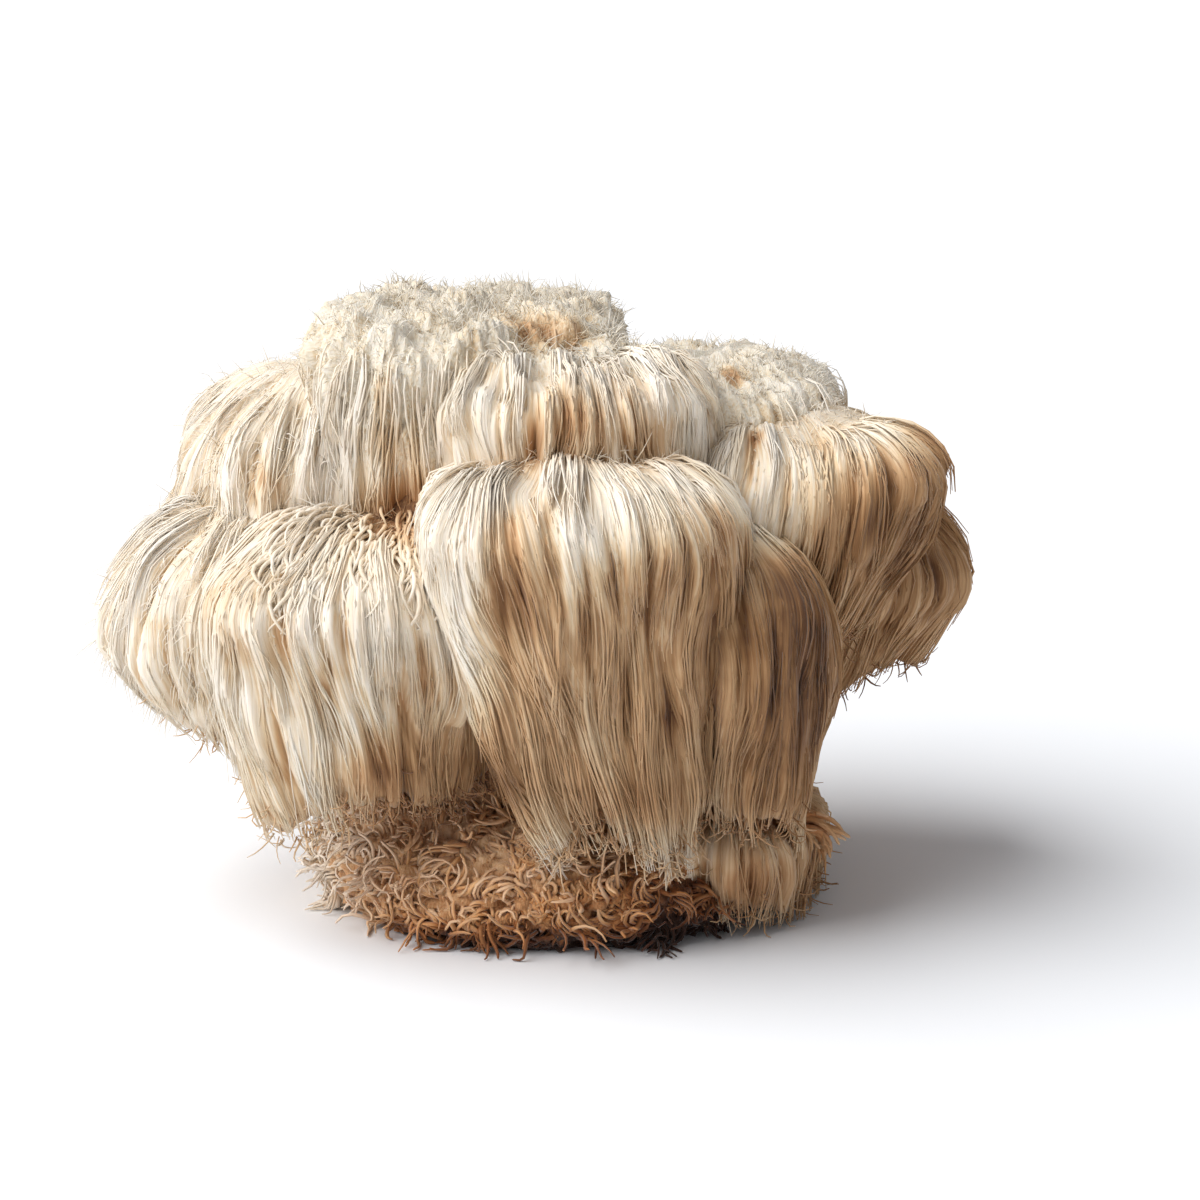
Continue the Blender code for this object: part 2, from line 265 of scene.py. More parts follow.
def nearPixel(name, pixel):  # mm round and down the lobe of the place that shows at a pixel of the photo
    chart = charts[name]
    s = np.linspace(0, chart["girth"], 180, endpoint=False)[:, None]
    a = np.arange(2.0, chart["falls"].shape[1] - 2, 1.5)[None]
    angle, fall = placeOn(name, s + 0 * a, a + 0 * s)
    points = curtainPoint(lobes[name], angle, fall)
    miss = np.linalg.norm(photoPixel(points) - np.array(pixel), axis=-1)
    facing = outward(lobes[name], angle, fall)[..., 1] < 0.15
    best = np.argmin(np.where(facing, miss, 1e6))
    row, column = np.unravel_index(best, miss.shape)
    return s[row, 0], a[0, column]


gathers = {  # where a lobe's spines draw together as they hang: pixel of the photo, share, reach in mm
    "upperLeft": [((276, 492), 0.7, 22)],
    "crown": [((388, 540), 0.35, 16)],
    "rightShoulder": [((800, 610), 0.5, 26)],
}
gathered = {name: [(*nearPixel(name, pixel), share, reach) for pixel, share, reach in found]
            for name, found in gathers.items()}

# partings: gaps between the locks, where the spines sink deeper and spines and skin are darkened with painted
# shade
photoPartings = {  # pixel at the top, pixel at the bottom, width in mm
    "crown": [((388, 400), (392, 470), 3.4), ((418, 410), (424, 500), 2.6), ((446, 396), (452, 470), 2.2),
              ((360, 440), (364, 510), 1.2)],
    "secondTier": [((562, 398), (572, 462), 6.5), ((510, 392), (512, 450), 2.0),
                   ((535, 410), (538, 455), 2.4), ((625, 392), (634, 458), 4.0),
                   ((596, 400), (600, 460), 2.0)],
    "frontCurtain": [((496, 526), (506, 610), 2.4), ((514, 520), (526, 600), 2.2),
                     ((546, 506), (558, 610), 4.0), ((582, 560), (590, 640), 2.4),
                     ((607, 558), (612, 600), 1.6), ((646, 535), (650, 640), 2.0),
                     ((678, 525), (684, 590), 2.4), ((664, 690), (672, 740), 4.5),
                     ((620, 650), (624, 720), 1.4), ((560, 660), (572, 730), 1.2)],
    "frontRight": [((742, 600), (738, 690), 2.2), ((776, 640), (768, 720), 1.6),
                   ((712, 640), (706, 760), 2.4), ((800, 660), (790, 760), 1.4)],
    "frontLeft": [((280, 598), (290, 660), 3.0), ((316, 640), (330, 704), 2.6), ((340, 592), (348, 644), 2.4),
                  ((418, 640), (432, 716), 2.6), ((256, 664), (284, 780), 4.0), ((350, 690), (384, 760), 1.8),
                  ((390, 690), (420, 770), 1.4), ((230, 640), (246, 700), 1.8)],
    "leftSide": [((193, 640), (200, 700), 1.6), ((222, 612), (232, 680), 2.2), ((168, 640), (176, 690), 1.0)],
    "upperLeft": [((262, 440), (268, 486), 3.0), ((230, 420), (232, 470), 1.4),
                  ((300, 400), (302, 460), 1.6)],
    "rightShoulder": [((757, 436), (754, 452), 2.0), ((876, 480), (868, 530), 2.0),
                      ((820, 540), (800, 600), 2.4), ((850, 520), (836, 580), 1.4),
                      ((790, 480), (784, 540), 1.2)],
    "rightSide": [((900, 570), (870, 640), 3.0), ((930, 560), (918, 620), 1.4)],
}
wildPartings = dict(
    streak=0.8,  # mm of a parting's width to each of the thin gaps that it is made of
    spacing=11.0,  # mm of girth to each gap of the others
    start=(0.22, 0.62),  # share of the way down where one starts
    length=(12, 30),  # mm
    width=(0.4, 1.3),  # mm
)


def partingsOf(name, dice):
    look = wildPartings
    girth, hem = charts[name]["girth"], charts[name]["hem"].mean()
    found = []
    for top, bottom, width in photoPartings.get(name, []):
        topS, topA = nearPixel(name, top)
        bottomS, bottomA = nearPixel(name, bottom)
        bottomS, bottomA = topS + roundApart(name, bottomS, topS), max(bottomA, topA + 6)
        for _ in range(1 + round(width / look["streak"])):
            aside, slant = dice.normal(0, 0.36 * width), dice.normal(0, 0.5)
            half = dice.uniform(*look["width"]) / 2
            found.append((topS + aside, topA + dice.uniform(-6, 5), bottomS + 0.7 * aside + slant,
                          bottomA + dice.uniform(-3, 9), half))
    placed = len(found)
    for _ in range(int(girth / look["spacing"])):
        s, start = dice.uniform(0, girth), hem * dice.uniform(*look["start"])
        length, half = dice.uniform(*look["length"]), dice.uniform(*look["width"]) / 2
        if all(abs(roundApart(name, s, other[0])) > 4 for other in found[:placed]):
            found.append((s, start, s + dice.normal(0, 1), start + length, half))
    return found


def gapAt(name, s, a):  # 0 to 1: how much of a gap between the locks is here
    gap = np.zeros(np.broadcast(s, a).shape)
    for topS, topA, bottomS, bottomA, half in partings[name]:
        way = (a - topA) / (bottomA - topA)
        open_ = np.sin(math.pi * np.clip(way, 0, 1)) ** 0.7
        line = topS + (bottomS - topS) * np.clip(way, 0, 1)
        apart = roundApart(name, s, line)
        gap = np.maximum(gap, open_ * np.exp(-(apart / (1.1 * half + 0.25)) ** 2))
    return gap


dice = np.random.default_rng(7)
partings = {name: partingsOf(name, dice) for name in lobes}
print("charts and partings made")


def mark(mesh, name, values):  # what the materials read at each point: shade, warmth and comb
    vector = values.ndim == 2
    layer = mesh.attributes.new(name, "FLOAT_VECTOR" if vector else "FLOAT", "POINT")
    layer.data.foreach_set("vector" if vector else "value", values.astype(np.float32).ravel())


# spines are joined meshes of tapered tubes, all worked out as arrays
def tubeArrays(paths, radii, sides=3):  # paths: spine, ring, xyz; radii: spine, ring
    along = unit(np.gradient(paths, axis=1))
    side = unit(np.cross(along[:, 0], unit(np.array([0.31, 0.87, 0.39]))))
    corners = np.empty((*paths.shape[:2], sides, 3))
    for ring in range(paths.shape[1]):
        side = unit(side - along[:, ring] * np.sum(side * along[:, ring], axis=-1, keepdims=True))
        other = np.cross(along[:, ring], side)
        for corner in range(sides):
            turn = 2 * math.pi * corner / sides
            reach = side * math.cos(turn) + other * math.sin(turn)
            corners[:, ring, corner] = paths[:, ring] + reach * radii[:, ring, None]
    tips = paths[:, -1] + along[:, -1] * radii[:, -1, None] * 1.5
    return corners, tips


def spineMesh(name, batches, sides=3):  # batches: list of (paths, radii, {attribute: values per ring})
    points, faces, values = [], [], {}
    first = 0
    for paths, radii, marks in batches:
        count, rings = paths.shape[:2]
        corners, tips = tubeArrays(paths, radii, sides)
        perSpine = rings * sides + 1
        block = np.concatenate([corners.reshape(count, rings * sides, 3), tips[:, None]], axis=1)
        points.append(block.reshape(-1, 3))
        base = first + np.arange(count)[:, None] * perSpine
        for ring in range(rings - 1):
            for corner in range(sides):
                after = (corner + 1) % sides
                low, high = ring * sides, (ring + 1) * sides
                wall = [low + corner, low + after, high + after, high + corner]
                faces.extend((base + np.array(wall)).tolist())
        last = (rings - 1) * sides
        for corner in range(sides):
            after = (corner + 1) % sides
            faces.extend((base + np.array([last + corner, last + after, rings * sides])).tolist())
        faces.extend((base + np.arange(sides)[::-1]).tolist())
        for attribute, value in marks.items():
            rowOf = np.repeat(value, sides, axis=1)
            rowOf = np.concatenate([rowOf, value[:, -1:]], axis=1)
            values.setdefault(attribute, []).append(rowOf.reshape(-1))
        first += count * perSpine
    points = (np.concatenate(points) - planMiddle) * mm
    mesh = bpy.data.meshes.new(name)
    mesh.from_pydata(points.tolist(), [], faces)
    for attribute, parts in values.items():
        mark(mesh, attribute, np.concatenate(parts))
    mesh.shade_smooth()
    piece = bpy.data.objects.new(name, mesh)
    bpy.context.scene.collection.objects.link(piece)
    triangles = sum(len(face) - 2 for face in faces)
    print(name, "spines", sum(len(batch[0]) for batch in batches), "triangles", triangles)
    return piece


photoStainsAndShade = {  # tan and orange places, partly real stains and partly painted shade in hollows and under lobes' edges, and pale ones: pixel, reach in mm, how much
    "crown": [((395, 445), 4, 0.10), ((424, 505), 8, 0.20), ((392, 525), 6, 0.22)],
    "crownRight": [((540, 336), 5, 0.32), ((505, 336), 4, 0.28), ((575, 338), 4, 0.26),
                   ((478, 348), 4, 0.20)],
    "secondTier": [((570, 420), 6, 0.16), ((585, 448), 6, 0.14), ((625, 400), 6, 0.08), ((652, 440), 7, 0.16),
                   ((536, 440), 4, 0.10), ((520, 465), 6, 0.14)],
    "topRight": [((730, 378), 3.0, 0.40), ((661, 366), 2.2, 0.34), ((690, 452), 6, 0.36),
                 ((815, 398), 2.4, 0.24)],
    "rightShoulder": [((758, 441), 2.2, 0.30), ((790, 410), 6, -0.10)],
    "frontCurtain": [((668, 715), 3.6, 0.20), ((712, 524), 5.5, 0.26), ((525, 600), 7, 0.12),
                     ((520, 530), 6, 0.18), ((582, 548), 6, -0.16), ((574, 590), 5, -0.14),
                     ((640, 800), 6, 0.14), ((610, 800), 5, 0.08)],
    "rightFrill": [((760, 895), 14, 0.30), ((733, 880), 8, 0.14)],
    "upperLeft": [((276, 485), 4, 0.26), ((325, 470), 7, -0.12)],
    "leftSide": [((285, 505), 4, 0.14)],
    "frontLeft": [((400, 535), 9, 0.14), ((425, 545), 5, 0.20), ((340, 560), 12, 0.04),
                  ((424, 675), 7, 0.16), ((378, 770), 6, 0.18), ((285, 640), 4, 0.14),
                  ((318, 690), 4, 0.12), ((345, 640), 3, 0.10), ((246, 650), 4, 0.10),
                  ((228, 600), 10, 0.07)],
}


def stainsAndShadeOf():
    found = []
    for name, places in photoStainsAndShade.items():
        for pixel, reach, amount in places:
            s, a = nearPixel(name, pixel)
            found.append((surfaceAt(name, np.array(s), np.array(a))[0], reach, amount))
    return found


stainsAndShade = stainsAndShadeOf()


# stains and painted shade together: darker and tanner round each listed place
def stainAndShadeAt(points):
    amount = np.zeros(points.shape[:-1])
    for middle, reach, much in stainsAndShade:
        amount = amount + much * np.exp(-np.sum((points - middle) ** 2, axis=-1) / reach ** 2)
    return amount


paintedShadeOf = dict(  # how much darker and tanner each part is painted, mostly painted shade in the recesses, under the overhangs and on the sides away from the light; below 0 is paler
    recess=0.10,
    low=0.16,
    right=0.13,
    front=0.32,
    corner=0.15,
    shoulder=0.30,
    under=0.38,
    hems=-0.20,
)


def paintedShadeAndTan(points, others):  # painted shade: darker and tanner in the recesses, under the overhangs, on the sides away from the light and towards the bottom, with the stains and painted shade of the listed places
    x, y, z = points[..., 0], points[..., 1], points[..., 2]
    look = paintedShadeOf
    # recess: painted shade where the lobes meet; right, shoulder, corner and front: painted shade on the
    # sides away from the light; under: painted shade under the front lobes' overhang; low: darker towards the
    # bottom; hems: paler at the front hems
    recess = easeIn((others + 3.5) / 6)
    low = easeIn((62 - z) / 50) * (1 - 0.6 * easeIn((-24 - y) / 10) * easeIn((x + 10) / 10))
    right = easeIn((x + 12) / 80) * easeIn((108 - z) / 40)
    shoulder = easeIn((x - 44) / 22) * easeIn((105 - z) / 14) * (0.4 + 0.6 * easeIn((z - 60) / 30))
    corner = easeIn((x - 38) / 10) * easeIn((35 + 0.9 * x - z) / 14 + 0.5)
    front = easeIn((x + 14) / 10) * easeIn((96 - z) / 14) * easeIn((-30 - y) / 16)
    under = easeIn((x + 46) / 26) * easeIn((62 - z) / 24) * easeIn((4 - x) / 14) * easeIn((-16 - y) / 10)
    tips = 0.35 + 0.65 * easeIn((z - 18) / 26)  # the lowest spines in front are paler again
    hems = easeIn((30 - z) / 12) * easeIn((-22 - y) / 8)
    shade = look["recess"] * recess + look["low"] * low
    shade = shade + (look["right"] * right + look["front"] * front + look["corner"] * corner) * tips
    return shade + look["shoulder"] * shoulder + look["under"] * under + look["hems"] * hems + stainAndShadeAt(points)


def stainAndShadeWarmth(points):  # the stains and the painted shade among them are more orange too
    return 6 * np.clip(stainAndShadeAt(points), 0, 0.5)


# locks: the spines of a lobe hang together in locks, each narrowing to its tip over the ones below
locks = dict(
    width=6.4,  # mm
    rowGap=14.0,  # mm down a lobe from one row of locks to the next
    length=(28, 56),  # mm
    pull=(0.2, 0.75),  # how far a lock narrows towards its tip
    bulge=(0.5, 2.6),  # mm that the middle of a lock stands out
    layer=1.0,  # mm that a lock's tip rides up over the locks below
    drift=1.6,  # mm
    ragged=2.0,  # mm, unevenness of the hem
    between=-0.7,  # mm that the surface stands out where no lock lies
    search=14.0,  # mm to either side in which a lock can lie
)


def locksOf(name, dice):
    look = locks
    girth, hemMean = charts[name]["girth"], charts[name]["hem"].mean()
    columns = max(6, round(girth / look["width"]))
    rows = np.arange(0, max(hemMean - 14, 6), look["rowGap"])
    s = np.concatenate([np.arange(columns) + 0.5 * (r % 2) + dice.uniform(-0.6, 0.6, columns)
                        for r in range(len(rows))]) * girth / columns
    count = s.size
    a = np.maximum(np.repeat(rows, columns) + dice.uniform(-0.4, 0.6, count) * look["rowGap"], 0)
    tip = a + dice.uniform(*look["length"], count)
    hem = hemAt(name, s)
    toHem = tip > hem - 12
    tip = np.where(toHem, hem + dice.normal(0.3, look["ragged"], count).clip(-4, 4), tip)
    return dict(
        s=s, a=a, tip=tip, length=np.maximum(tip - a, 6), toHem=toHem,
        half=dice.uniform(0.75, 1.35, count) * girth / columns * 0.6,
        pull=dice.uniform(*look["pull"], count) * np.where(toHem, 0.7, 1.0),
        bulge=dice.uniform(*look["bulge"], count),
        drift=dice.normal(0, look["drift"], count),
        tint=dice.uniform(-1, 1, count),
    )


lockSets = {name: locksOf(name, np.random.default_rng(20 + i)) for i, name in enumerate(lobes)}


def inLock(name, lock, lateral, a):  # lateral: mm from the middle of a lock at its widest
    own = lockSets[name]
    way = (a - own["a"][lock]) / own["length"][lock]
    narrow = 1 - own["pull"][lock] * easeIn(way) ** 1.3
    middle = own["s"][lock] + flow(name, own["s"][lock], a) + own["drift"][lock] * np.clip(way, 0, 1.1) ** 2
    profile = 1 - (lateral / own["half"][lock]) ** 2
    rideUp = locks["layer"] * np.clip(way, 0, 1) * ~own["toHem"][lock]
    bulge = own["bulge"][lock] * (0.35 + 0.65 * easeIn((a - 5) / 14))
    return middle + lateral * narrow, bulge * profile * easeIn(way * 3) + rideUp, way


def combedLift(name, s, a):  # how far the locks stand out at a place, in mm
    own = lockSets[name]
    lift = np.full(s.shape, locks["between"])
    for k in range(own["s"].size):
        beside = np.abs(roundApart(name, s, own["s"][k])) < locks["search"]
        near = np.flatnonzero(beside & (a > own["a"][k]) & (a < own["tip"][k]))
        if near.size == 0:
            continue
        middle, _, way = inLock(name, k, 0.0, a[near])
        narrow = 1 - own["pull"][k] * easeIn(way) ** 1.3
        lateral = roundApart(name, s[near], middle) / narrow
        _, here, _ = inLock(name, k, lateral, a[near])
        ends = easeIn((1 - way) * 5) * (1 - own["toHem"][k]) + own["toHem"][k]
        inside = np.abs(lateral) < own["half"][k] * 1.15
        lift[near] = np.where(inside, np.maximum(lift[near], here * ends), lift[near])
    return lift


draping = dict(clear=0.5, deepest=7.0, step=0.4)  # mm


def drape(paths, name):  # spines that reach another lobe lie on it
    flat = paths.reshape(-1, 3).copy()
    for _ in range(2):
        depth = depthInOthers(flat, name)
        touched = np.flatnonzero((depth > -draping["clear"]) & (depth < draping["deepest"]))
        here, sunk = flat[touched], depth[touched]
        step = draping["step"]
        slope = np.stack([depthInOthers(here + move, name) - sunk for move in step * np.eye(3)], axis=-1)
        slope = slope / step
        steep = np.maximum(np.linalg.norm(slope, axis=-1), 0.4)
        reach = (sunk + draping["clear"]) / steep * easeIn((draping["deepest"] - sunk) / 3)
        flat[touched] = here - slope / steep[:, None] * reach[:, None]
    return flat.reshape(paths.shape)


# the hanging spines
combing = dict(
    wisp=1.7,  # mm, width of the wisps that a lock is made of
    wispPull=(0.2, 0.85),
    sink=1.2,  # mm that roots start under the surface
    stand=(-0.3, 0.12),  # mm that spines stand out of the lock that they lie in
    crestLift=1.0,  # mm that the spines of the crest arch up before they hang
    wave=0.3,  # mm
    radius=(0.18, 0.38),  # mm at the root
    tip=0.3,  # radius at the tip as a share of the root's
    rings=7,
    shortest=6.0,  # mm
    strays=(0.1, 2.6),  # share of the spines that stray, and how far, mm
    thick=(0.08, 1.4),  # share of the spines that are thicker, and how much
    thinned=0.55,  # share of the spines that are left out in a parting
    floor=0.4,  # mm above the ground that a spine stays
)


# crestFree: share of the dome without long spines; fine: thickness against the usual
def combLobe(name, total, crestFree, fine, dice):
    look, own = combing, lockSets[name]
    share = own["half"] * own["length"]
    perLock = np.maximum(np.round(total * share / share.sum()), 2).astype(int)
    lock = np.repeat(np.arange(share.size), perLock)
    n = lock.size
    lateral = dice.uniform(-1, 1, n) * own["half"][lock]
    start = own["a"][lock] + own["length"][lock] * dice.uniform(0, 0.45, n) ** 1.2
    start = np.maximum(start, crestFree * dice.uniform(0.75, 1.35, n) * browAt(name, own["s"][lock]))
    end = own["tip"][lock] - np.abs(dice.normal(0, 0.15, n)) * own["length"][lock] + dice.uniform(-1, 1.5, n)
    keep = end - start > look["shortest"]
    lock, lateral, start, end = lock[keep], lateral[keep], start[keep], end[keep]
    n = lock.size
    t = np.linspace(0, 1, look["rings"])[None]
    a = start[:, None] + (end - start)[:, None] * t

    wander = 0.3 * np.sin(lock * 7.1)
    wispMiddle = (np.round(lateral / look["wisp"] + wander) - wander) * look["wisp"]
    wispKey = np.sin(wispMiddle * 3.3 + lock * 5.7)
    wispPull = look["wispPull"][0] + (look["wispPull"][1] - look["wispPull"][0]) * (0.5 + 0.5 * wispKey)
    column = lock[:, None]
    way = np.clip((a - own["a"][column]) / own["length"][column], 0, 1)
    drawn = wispMiddle[:, None] + (lateral - wispMiddle)[:, None] * (1 - wispPull[:, None] * easeIn(way))
    s, lift, _ = inLock(name, column, drawn, a)
    s = s + 0.8 * wispKey[:, None] * way ** 2
    stray = (dice.random(n) < look["strays"][0])[:, None]
    s = s + stray * dice.normal(0, look["strays"][1], n)[:, None] * t ** 1.5
    bend = dice.uniform(0, 2 * math.pi, n)[:, None]
    wave = look["wave"] * np.sin(a / dice.uniform(2.4, 5, n)[:, None] + bend)
    s = s + wave * dice.uniform(0, 1.4, n)[:, None]
    s = s + dice.normal(0, 1.0, n)[:, None] * t ** 2
    gap = gapAt(name, s, a)
    left = dice.random(n) > look["thinned"] * gap.max(axis=1)

    surface, normal = surfaceAt(name, s, a)
    crest = np.clip(1 - start / 9, 0, 1)[:, None]
    arch = look["crestLift"] * crest * dice.uniform(0.2, 1.2, n)[:, None]
    arch = arch * np.sin(math.pi * np.clip(t * 2.2, 0, 1))
    lift = lift + dice.uniform(*look["stand"], n)[:, None] * easeIn(t / 0.3) + 0.3 * wispKey[:, None] * way
    lift = lift - look["sink"] * (1 - easeIn(t / 0.2)) + arch - 1.0 * gap
    lift = lift + stray * dice.uniform(0, 1.6, n)[:, None] * t ** 2
    paths = surface + normal * lift[..., None]
    paths[..., 2] = np.maximum(paths[..., 2], look["floor"])
    keep = (depthInOthers(paths[:, 1], name) < 1.5) & left
    paths, lift, gap, lock, wispKey = paths[keep], lift[keep], gap[keep], lock[keep], wispKey[keep]
    n = lock.size
    paths = drape(paths, name)
    others = depthInOthers(paths, name)
    keep = (others < 1.0).sum(axis=1) >= 3

    base = fine * dice.uniform(*look["radius"], n)[:, None]
    base = base * np.where(dice.random(n) < look["thick"][0], look["thick"][1], 1.0)[:, None]
    radii = base * (1 - (1 - look["tip"]) * t ** 1.7) * (0.55 + 0.45 * easeIn(t / 0.4))
    shade = 0.08 + 0.03 * own["tint"][lock][:, None] + 0.015 * dice.normal(0, 1, n).clip(-2, 2)[:, None]
    # painted shade: spines that lie lower and spines in the partings are darker
    shade = shade + 0.10 * np.clip((1.0 - lift) / 2.4, -0.3, 1) + 0.03 * wispKey[:, None] + 0.14 * gap
    shade = shade + paintedShadeAndTan(paths, others)
    warmth = 0.9 * dice.random(n)[:, None] + stainAndShadeWarmth(paths)
    return paths[keep], radii[keep], {"shade": shade[keep], "warmth": warmth[keep]}


# curved fibres: each bends round an axis as it grows
def curvedPaths(root, aim, axis, turn, length, rings):
    t = np.linspace(0, 1, rings)
    swing = turn[:, None] * t[None]
    axis, aim = unit(axis), unit(aim)
    straight = np.sum(axis * aim, axis=1)[:, None] * axis
    across = np.cross(axis, aim)
    way = (straight[:, None] + (aim - straight)[:, None] * np.cos(swing)[..., None]
           + across[:, None] * np.sin(swing)[..., None])
    steps = 0.5 * (way[:, 1:] + way[:, :-1]) * (length / (rings - 1))[:, None, None]
    return root[:, None] + np.concatenate([np.zeros((len(root), 1, 3)), np.cumsum(steps, axis=1)], axis=1)


def scatter(name, count, reach, dice):  # even places, from the crest to a share of the way to the brow
    girth, cells = charts[name]["girth"], 40
    s = np.linspace(0, girth, 91)[:-1][:, None]
    share = reach * (np.arange(cells)[None] + 0.5) / cells
    a = share * browAt(name, s)
    angle, fall = placeOn(name, s + 0 * a, a)
    points = curtainPoint(lobes[name], angle, fall)
    wide = np.linalg.norm(np.roll(points, -1, axis=0) - points, axis=-1)
    area = wide * browAt(name, s) * reach / cells
    before = np.cumsum(area.ravel()) / area.sum()
    cell = np.searchsorted(before, (np.arange(count) + dice.random(count)) / count).clip(0, before.size - 1)
    row, column = np.unravel_index(cell, wide.shape)
    rootS = s[row, 0] + dice.uniform(-0.5, 0.5, count) * girth / 90
    rootShare = share[0, column] + dice.uniform(-0.5, 0.5, count) * reach / cells
    return rootS, np.maximum(rootShare * browAt(name, rootS), 0.1), area.sum()


crownNames = ("crown", "crownRight", "topRight", "secondTier")
woolWarmth = dict.fromkeys(crownNames, -0.5)  # below 0 is greyer
otherWarmth = 0.3  # of the other lobes' wool
frizz = dict(  # the woolly hairs on the crests; lengths in mm
    perArea=0.98,  # hairs for each mm2
    rings=3,
    length=(1.6, 4.2),
    radius=(0.11, 0.21),
    turn=(20, 120),  # degrees that a hair bends
    tuft=5.4,  # mm between tufts
    fan=0.75,  # how far the hairs of a tuft spread
    mess=0.4,
)


def frizzLobe(name, reach, share, grow, arch, dice):  # arch: how far the hairs bend over downhill together
    look = frizz
    area = scatter(name, 10, reach, dice)[2]
    count = int(area * look["perArea"] * share)
    s, a, _ = scatter(name, count, reach, dice)
    tuftCount = max(6, int(area / look["tuft"] ** 2))
    tuftS, tuftA, _ = scatter(name, tuftCount, reach, dice)
    root, normal = surfaceAt(name, s, a)
    visible = depthInOthers(root, name) < 0.5
    s, a, root, normal = s[visible], a[visible], root[visible], normal[visible]
    count = s.size
    tuftRoot, _ = surfaceAt(name, tuftS, tuftA)
    tuft = np.argmin(np.linalg.norm(root[:, None] - tuftRoot[None], axis=-1), axis=1)
    away = (root - tuftRoot[tuft]) / look["tuft"]
    high = 1 - np.clip(np.linalg.norm(away, axis=1), 0, 1) ** 2
    size = dice.uniform(0.6, 1.25, tuftCount)[tuft]
    edge = easeIn((reach - a / browAt(name, s)) / (0.45 * reach))  # flatter where the long spines take over
    length = dice.uniform(*look["length"], count) * size * (0.4 + 0.9 * high) * (0.7 + 0.3 * edge) * grow
    downhill = unit(normal * -normal[:, 2:] + np.array([0, 0, -1.0]))
    aim = normal + look["fan"] * 1.7 * away + dice.normal(0, look["mess"], (count, 3))
    aim = aim + 0.2 * np.array([0, 0, 1.0])
    aim = aim + downhill * ((1 - edge) * 1.6 + arch)[:, None]
    loose = (1 - arch) * edge[:, None] * dice.normal(0, 1, (count, 3))
    axis = np.cross(aim, loose + (0.4 + 2 * arch) * downhill)
    axis = unit(axis) + 0.25 * (1 - arch) * dice.normal(0, 1, (count, 3))
    turn = np.radians(dice.uniform(*look["turn"], count) * (0.35 + 0.65 * edge))
    paths = curvedPaths(root - normal * 0.8, aim, axis, turn, length, look["rings"])
    t = np.linspace(0, 1, look["rings"])[None]
    radii = dice.uniform(*look["radius"], count)[:, None] * (1 - 0.75 * t ** 1.3)
    others = depthInOthers(paths, name)
    keep = (others < 1.0).sum(axis=1) >= 2
    # painted shade and light of the wool: each hair darker near its root, the tufts' edges darker and their
    # middles paler
    shade = 0.03 + 0.03 * dice.normal(0, 1, count).clip(-2, 2)[:, None] + 0.12 * (1 - t) ** 1.5
    shade = shade - 0.10 * (high[:, None] - 0.5) + paintedShadeAndTan(paths, others)
    warmth = woolWarmth.get(name, otherWarmth) + 0.2 * dice.random(count)[:, None]
    warmth = np.repeat(warmth, look["rings"], axis=1)
    return paths[keep], radii[keep], {"shade": shade[keep], "warmth": warmth[keep]}


hemEnds = dict(  # lengths in mm
    above=(1, 13),  # above the tips
    length=(3, 8),
    radius=(0.16, 0.3),
    turn=(30, 230),  # degrees
    rings=5,
)


def hemCurls(name, count, dice):  # short curly ends along the hem
    look, rings = hemEnds, hemEnds["rings"]
    s = dice.uniform(0, charts[name]["girth"], count)
    above = dice.uniform(*look["above"], count) * dice.random(count)
    root, normal = surfaceAt(name, s, hemAt(name, s) - above)
    shown = depthInOthers(root, name) < 0.0
    root, normal = root[shown], normal[shown]
    count = len(root)
    aim = normal * dice.uniform(0, 0.9, count)[:, None] + np.array([0, 0, -1.0])
    aim = aim + dice.normal(0, 0.35, (count, 3))
    axis = np.cross(aim, normal) * dice.choice([-1, 1], count)[:, None] + 0.6 * dice.normal(0, 1, (count, 3))
    turn = np.radians(dice.uniform(*look["turn"], count))
    paths = curvedPaths(root - normal * 0.5, aim, axis, turn, dice.uniform(*look["length"], count), rings)
    paths[..., 2] = np.maximum(paths[..., 2], combing["floor"])
    t = np.linspace(0, 1, rings)[None]
    radii = dice.uniform(*look["radius"], count)[:, None] * (1 - 0.6 * t ** 1.5)
    others = depthInOthers(paths, name)
    shade = 0.21 + 0.05 * dice.normal(0, 1, count).clip(-2, 2)[:, None] + paintedShadeAndTan(paths, others)
    warmth = np.repeat(1.2 + dice.random(count)[:, None], rings, axis=1)
    return paths, radii, {"shade": shade, "warmth": warmth}


noodles = dict(
    count=430,
    left=280, right=446, top=512, bottom=590,  # stretch of the photo where they lie, pixels
    length=(8, 19),  # mm
    radius=(0.28, 0.62),
    lift=(0.3, 2.2),  # mm that the middle stands off the crest
    rings=8,
)


